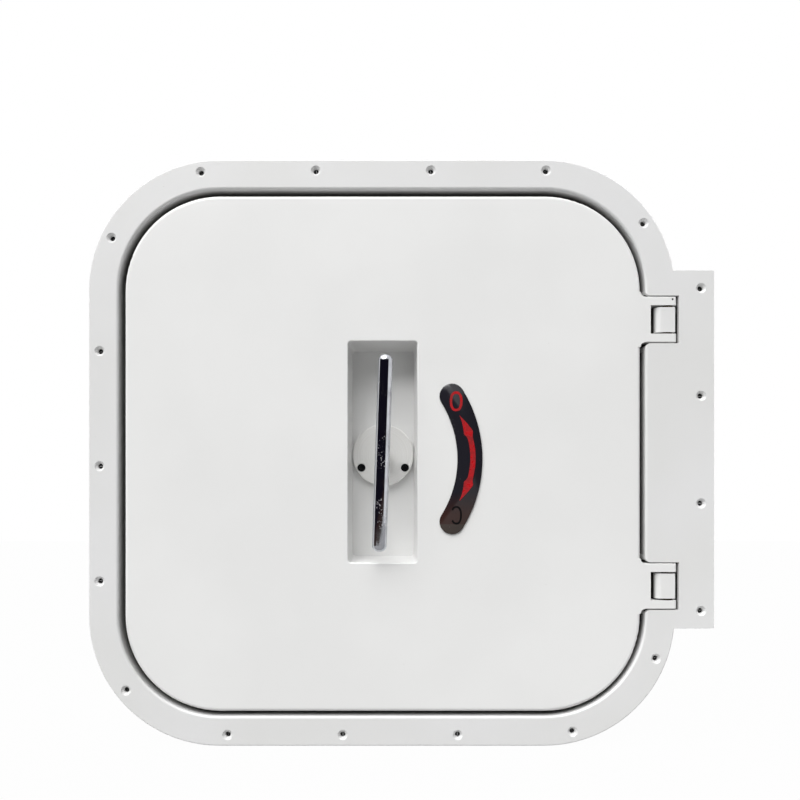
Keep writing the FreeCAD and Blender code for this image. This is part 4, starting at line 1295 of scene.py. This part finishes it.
@dataclass(frozen=True)
class DogGear(Assembly):
    """The four dogs with their pins, guides and strikes, and the cam plate that draws them."""

    coats: ClassVar[Coats] = {
        Coat.LEAF_PAINT: ("mechanism_plate", "outer_guides"),
        Coat.ZINC: ("inner_guides",),
        Coat.GREASED: ("cam_plate", "dog_top", "dog_bottom", "dog_lock_side", "dog_hinge_side"),
        Coat.STEEL: (
            "strike_plates",
            "strike_screws",
            "dog_pin_top",
            "dog_pin_bottom",
            "dog_pin_lock_side",
            "dog_pin_hinge_side",
        ),
        Coat.SCREWS: ("guide_screws",),
    }
    bead: WeldBead = WeldBead(3.4)
    top_guide_from: float = 200.0

    def pieces(self) -> Iterable[Piece]:
        """Fillet welds along the outer faces of the guides' feet.

        Returns:
            The welds of all four guides.
        """
        low, high = box_mm("outer_guides")
        top = [place for place in points_mm("outer_guides") if place.z > self.top_guide_from]
        inner = min(place.z for place in top)
        half = max(place.x for place in top)
        piece = weld_piece("weld_beads_outer_guides", Body.LEAF)
        for turn in range(4):
            across, along = turned(math.pi / 2 * turn), turned(math.pi / 2 * (turn + 1))
            for side in SIDES:
                foot = across * (half * side) + along * inner + INBOARD * low.y
                self.bead.run(piece, foot, along * (high.z - inner), across * side, INBOARD)
        return (piece,)


@dataclass(frozen=True)
class Print:
    """A mark in ink on the direction plate: a thin film between two edges."""

    name: str
    coat: Coat
    ink: float = 0.1

    def edges(self) -> list[tuple[Vector, Vector]]:
        """Pairs of points, one on each edge."""
        raise NotImplementedError

    def piece(self, front: float, ring: bool = False) -> Piece:
        """Prints the mark.

        Args:
            front: The height of the face that it is printed on.
            ring: Whether it closes on itself.

        Returns:
            The film, standing on the face.
        """
        rows = []
        for first, second in self.edges():
            corners = ((first, front), (first, front - self.ink), (second, front - self.ink), (second, front))
            rows.append([Vector((place.x, y, place.z)) for place, y in corners])
        piece = Piece(self.name, self.coat, Body.LEAF, Slot.LABEL)
        piece.skin(rows, ring)
        return piece


@dataclass(frozen=True)
class RingMark(Print):
    """An upright oval ring, whole or open on its left."""

    x: float = 91.0
    z: float = 64.6
    half_x: float = 7.9
    half_z: float = 12.4
    stroke: float = 3.1
    reach: float = 180.0
    squareness: float = 0.85
    steps: int = 48

    def edge(self, angle: float, inset: float) -> Vector:
        """Finds a point of the ring.

        Args:
            angle: Where it is round the ring, in radians from the right.
            inset: How far it is inside the outer edge.

        Returns:
            The point, in the plane of the leaf's face.
        """
        flat = [math.copysign(abs(share) ** self.squareness, share) for share in (math.cos(angle), math.sin(angle))]
        return Vector((self.x + (self.half_x - inset) * flat[0], 0, self.z + (self.half_z - inset) * flat[1]))

    def edges(self) -> list[tuple[Vector, Vector]]:
        """Runs round the ring.

        Returns:
            Pairs of points, on its outer and its inner edge.
        """
        places = range(self.steps if self.reach >= 180 else self.steps + 1)
        angles = [math.radians(self.reach * (2 * step / self.steps - 1)) for step in places]
        return [(self.edge(angle, 0.0), self.edge(angle, self.stroke)) for angle in angles]


@dataclass(frozen=True)
class ArrowMark(Print):
    """A curved arrow with a head at each end."""

    x: float = 20.2
    z: float = -5.6
    radius: float = 91.6
    half_angle: float = 35.0
    head_length: float = 24.0
    head_half: float = 5.9
    neck_length: float = 8.0
    shaft_half: float = 3.2
    tip_half: float = 0.15
    head_power: float = 1.15
    steps: int = 96

    def edges(self) -> list[tuple[Vector, Vector]]:
        """Runs along the arrow.

        Returns:
            Pairs of points, on its outer and its inner edge.
        """
        whole = 2 * math.radians(self.half_angle) * self.radius
        edges = []
        for step in range(self.steps + 1):
            from_tip = min(step, self.steps - step) / self.steps * whole
            if from_tip < self.head_length:
                half = self.tip_half + self.head_half * (from_tip / self.head_length) ** self.head_power
            else:
                fade = min(1.0, (from_tip - self.head_length) / self.neck_length)
                half = self.head_half + (self.shaft_half - self.head_half) * math.sin(math.pi / 2 * fade)
            out = turned(math.radians(self.half_angle) * (2 * step / self.steps - 1))
            middle = Vector((self.x, 0, self.z)) + out * self.radius
            edges.append((middle + out * half, middle - out * half))
        return edges


@dataclass(frozen=True)
class Indicator(Assembly):
    """The arc-shaped plate that shows which way the handle turns.

    A plain ring stands at its upper end for open and a plain broken ring at its lower end for closed, with a
    curved arrow between them that points both ways.
    """

    centre_x: float = -38.8
    centre_z: float = -6.7
    radius: float = 147.0
    width: float = 31.0
    half_angle: float = 32.0
    bevel: float = 0.5
    bevel_turn: float = 0.3
    arc_steps: int = 24
    end_steps: int = 12
    arrow: ArrowMark = ArrowMark("indicator_arrow", Coat.RED_INK)
    whole_ring: RingMark = RingMark("indicator_ring", Coat.RED_INK)
    broken_ring: RingMark = RingMark(
        "indicator_broken_ring", Coat.BLACK_INK, x=91.2, z=-76.4, half_x=6.9, half_z=11.4, stroke=2.2, reach=146.0
    )

    def pieces(self) -> Iterable[Piece]:
        """The plate with its polished bevel, and its marks.

        Returns:
            The plate, the arrow and the two rings.
        """
        low, high = box_mm("indicator_plate")
        plate = Piece("direction_plate", Coat.ACRYLIC, Body.LEAF, Slot.LABEL, 60.0, "indicator_plate")
        edge = self.bevel * self.bevel_turn
        sections = ((0.0, high.y), (0.0, low.y + self.bevel), (edge, low.y + edge), (self.bevel, low.y))
        plate.skin([self.outline(inset, y) for inset, y in sections], ring=False)
        rings = self.whole_ring.piece(low.y, ring=True), self.broken_ring.piece(low.y)
        return plate, self.arrow.piece(low.y), *rings

    def outline(self, inset: float, y: float) -> list[Vector]:
        """The plate's outline, an arc with round ends.

        Args:
            inset: How far it lies inside the real outline.
            y: The plane that it lies in.

        Returns:
            Points all round.
        """
        points = []
        centre = Vector((self.centre_x, y, self.centre_z))
        half = self.width / 2 - inset
        for side in (1, -1):
            end = math.radians(self.half_angle * side)
            for step in range(self.arc_steps + 1):
                angle = end * (2 * step / self.arc_steps - 1)
                points.append(centre + turned(angle) * (self.radius + half * side))
            middle = centre + turned(end) * self.radius
            for step in range(1, self.end_steps):
                angle = end + math.radians(90 - 90 * side + 180 * step / self.end_steps)
                points.append(middle + turned(angle) * half)
        return points


@dataclass(frozen=True)
class Window:
    """A broad light, so far off that it is even over the hatch."""

    name: str
    strength: float
    spread: float
    height: float
    side: float

    def build(self) -> None:
        """Makes the lamp; its side is in degrees to the left of someone who faces the hatch's front."""
        data = bpy.data.lights.new(self.name, "SUN")
        data.energy = self.strength
        data.angle = math.radians(self.spread)
        lamp = bpy.data.objects.new(self.name, data)
        height, side = math.radians(self.height), math.radians(self.side)
        towards = Vector((-math.cos(height) * math.sin(side), -math.cos(height) * math.cos(side), math.sin(height)))
        lamp.rotation_mode = "QUATERNION"
        lamp.rotation_quaternion = towards.to_track_quat("Z", "Y")
        bpy.context.scene.collection.objects.link(lamp)


@dataclass(frozen=True)
class Studio:
    """The white room round the hatch: its floor, its light and what the polished pieces mirror."""

    floor_half: float = 3000.0
    floor_paper: str = "8C8C8C"
    floor_glow: float = 0.98
    windows: tuple[Window, ...] = (
        Window("window_light", 4.25, 62.0, 53.0, 32.0),
        Window("rear_window_light", 2.3, 80.0, 42.0, 208.0),
    )
    sky: float = 0.2
    mirrored: float = 0.9
    dark_left: float = -110.0
    dark_right: float = 52.0
    dark_edge: float = 6.0
    dark_high: float = 22.0
    dark_top: float = -2.0
    dark_middle: float = -3.3
    soft_high: float = 0.05
    soft_top: float = 0.006
    soft_middle: float = 0.004
    night: str = "15121E"
    earth: str = "3A2A28"
    ground: str = "463C38"

    def build(self) -> None:
        """Makes the floor, the world and the lamps."""
        self.floor(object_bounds()[0].z)
        self.world()
        for window in self.windows:
            window.build()

    def floor(self, height: float) -> None:
        """Makes the white floor.

        Args:
            height: The hatch's lowest point, in metres.
        """
        mesh = bpy.data.meshes.new("floor")
        half = mm(self.floor_half)
        corners = [(-half, -half, height), (half, -half, height), (half, half, height), (-half, half, height)]
        mesh.from_pydata(corners, [], [(0, 1, 2, 3)])
        floor = bpy.data.objects.new("floor", mesh)
        bpy.context.scene.collection.objects.link(floor)
        material = bpy.data.materials.new("white_floor_paper")
        material.use_nodes = True
        tree = material.node_tree
        tree.nodes.clear()
        paper = add_node(tree, "ShaderNodeBsdfDiffuse", {"Color": srgb(self.floor_paper)})
        glow = add_node(tree, "ShaderNodeEmission", {"Strength": 1.0})
        path = add_node(tree, "ShaderNodeLightPath")
        share = add_node(tree, "ShaderNodeMath", {"operation": "MULTIPLY", 1: self.floor_glow}, {0: path})
        both = add_node(tree, "ShaderNodeMixShader", links={0: share, 1: paper, 2: glow})
        add_node(tree, "ShaderNodeOutputMaterial", links={"Surface": both})
        mesh.materials.append(material)
        floor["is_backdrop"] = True

    def world(self) -> None:
        """Makes the white surroundings, with the dark end of the room for what the polished pieces mirror."""
        world = bpy.data.worlds.new("white_room")
        world.use_nodes = True
        tree = world.node_tree
        tree.nodes.clear()
        towards = add_node(tree, "ShaderNodeTexCoord").outputs["Generated"]
        axes = add_node(tree, "ShaderNodeSeparateXYZ", links={0: towards})
        front = add_node(tree, "ShaderNodeMath", {"operation": "MULTIPLY", 1: -1.0}, {0: axes.outputs["Y"]})
        angle = {0: axes.outputs["X"], 1: front}
        azimuth = add_node(tree, "ShaderNodeMath", {"operation": "ARCTAN2"}, angle)
        height = axes.outputs["Z"]
        rim = math.radians(self.dark_edge)
        left = azimuth, soft_edge(math.radians(self.dark_left), rim)
        right = azimuth, soft_edge(math.radians(self.dark_right), -rim)
        below = height, soft_edge(math.sin(math.radians(self.dark_high)), -self.soft_high)
        so_far: Links = {}
        for value, edge in (left, right, below):
            inside = add_node(tree, "ShaderNodeMapRange", edge, {"Value": value})
            times = {"operation": "MULTIPLY", 1: 1.0}
            dark = add_node(tree, "ShaderNodeMath", times, {0: inside} | so_far)
            so_far = {1: dark}
        under: Links = {}
        low = self.dark_middle, self.soft_middle, self.earth
        high = self.dark_top, self.soft_top, self.night
        for rise, width, colour in (low, high):
            edge = soft_edge(math.sin(math.radians(rise)), width)
            above = add_node(tree, "ShaderNodeMapRange", edge, {"Value": height})
            wall = add_node(tree, "ShaderNodeMix", tints(colour, self.ground), {0: above} | under)
            under = {6: wall.outputs[2]}
        room = {0: dark, 7: wall.outputs[2]}
        view = add_node(tree, "ShaderNodeMix", tints("000000", "FFFFFF"), room)
        mirrored = add_node(tree, "ShaderNodeBackground", {"Strength": self.mirrored}, {"Color": view.outputs[2]})
        seen = add_node(tree, "ShaderNodeBackground", {"Color": srgb("FFFFFF"), "Strength": 1.0})
        light = add_node(tree, "ShaderNodeBackground", {"Color": srgb("FFFFFF"), "Strength": self.sky})
        path = add_node(tree, "ShaderNodeLightPath")
        glossy = {0: path.outputs["Is Glossy Ray"], 1: light, 2: mirrored}
        unseen = add_node(tree, "ShaderNodeMixShader", links=glossy)
        both = add_node(tree, "ShaderNodeMixShader", links={0: path.outputs["Is Camera Ray"], 1: unseen, 2: seen})
        add_node(tree, "ShaderNodeOutputWorld", links={"Surface": both})
        bpy.context.scene.world = world


@dataclass(frozen=True)
class Camera:
    """The photograph's camera: level, straight in front, with the lens moved to frame the hatch."""

    x: float = 11.0
    distance: float = 880.0
    z: float = -34.0
    sensor: float = 36.0
    focal_pixels: float = 709.7
    image_pixels: float = 800.0
    axis_x_pixels: float = 391.5
    axis_y_pixels: float = 481.0

    def build(self) -> None:
        """Makes the camera and gives it to the scene."""
        data = bpy.data.cameras.new("camera")
        data.sensor_width = self.sensor
        data.lens = self.sensor * self.focal_pixels / self.image_pixels
        data.shift_x = 0.5 - self.axis_x_pixels / self.image_pixels
        data.shift_y = self.axis_y_pixels / self.image_pixels - 0.5
        camera = bpy.data.objects.new("camera", data)
        camera.location = (mm(self.x), -mm(self.distance), mm(self.z))
        camera.rotation_euler = (math.pi / 2, 0, 0)
        bpy.context.scene.collection.objects.link(camera)
        bpy.context.scene.camera = camera


def main() -> None:
    """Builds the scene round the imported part."""
    logging.basicConfig(level=logging.INFO, format="%(name)s: %(message)s")
    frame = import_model()
    parts = (FrameWeldment(), Bedding(), Hinges(), Leaf(), Seals(), Recess(), Bearing(), HandleGear(), DogGear())
    for part in (*parts, Indicator()):
        part.build(frame["nodes"])
    Studio().build()
    Camera().build()
    bpy.context.scene.view_settings.view_transform = "Standard"


if __name__ == "__main__":
    main()
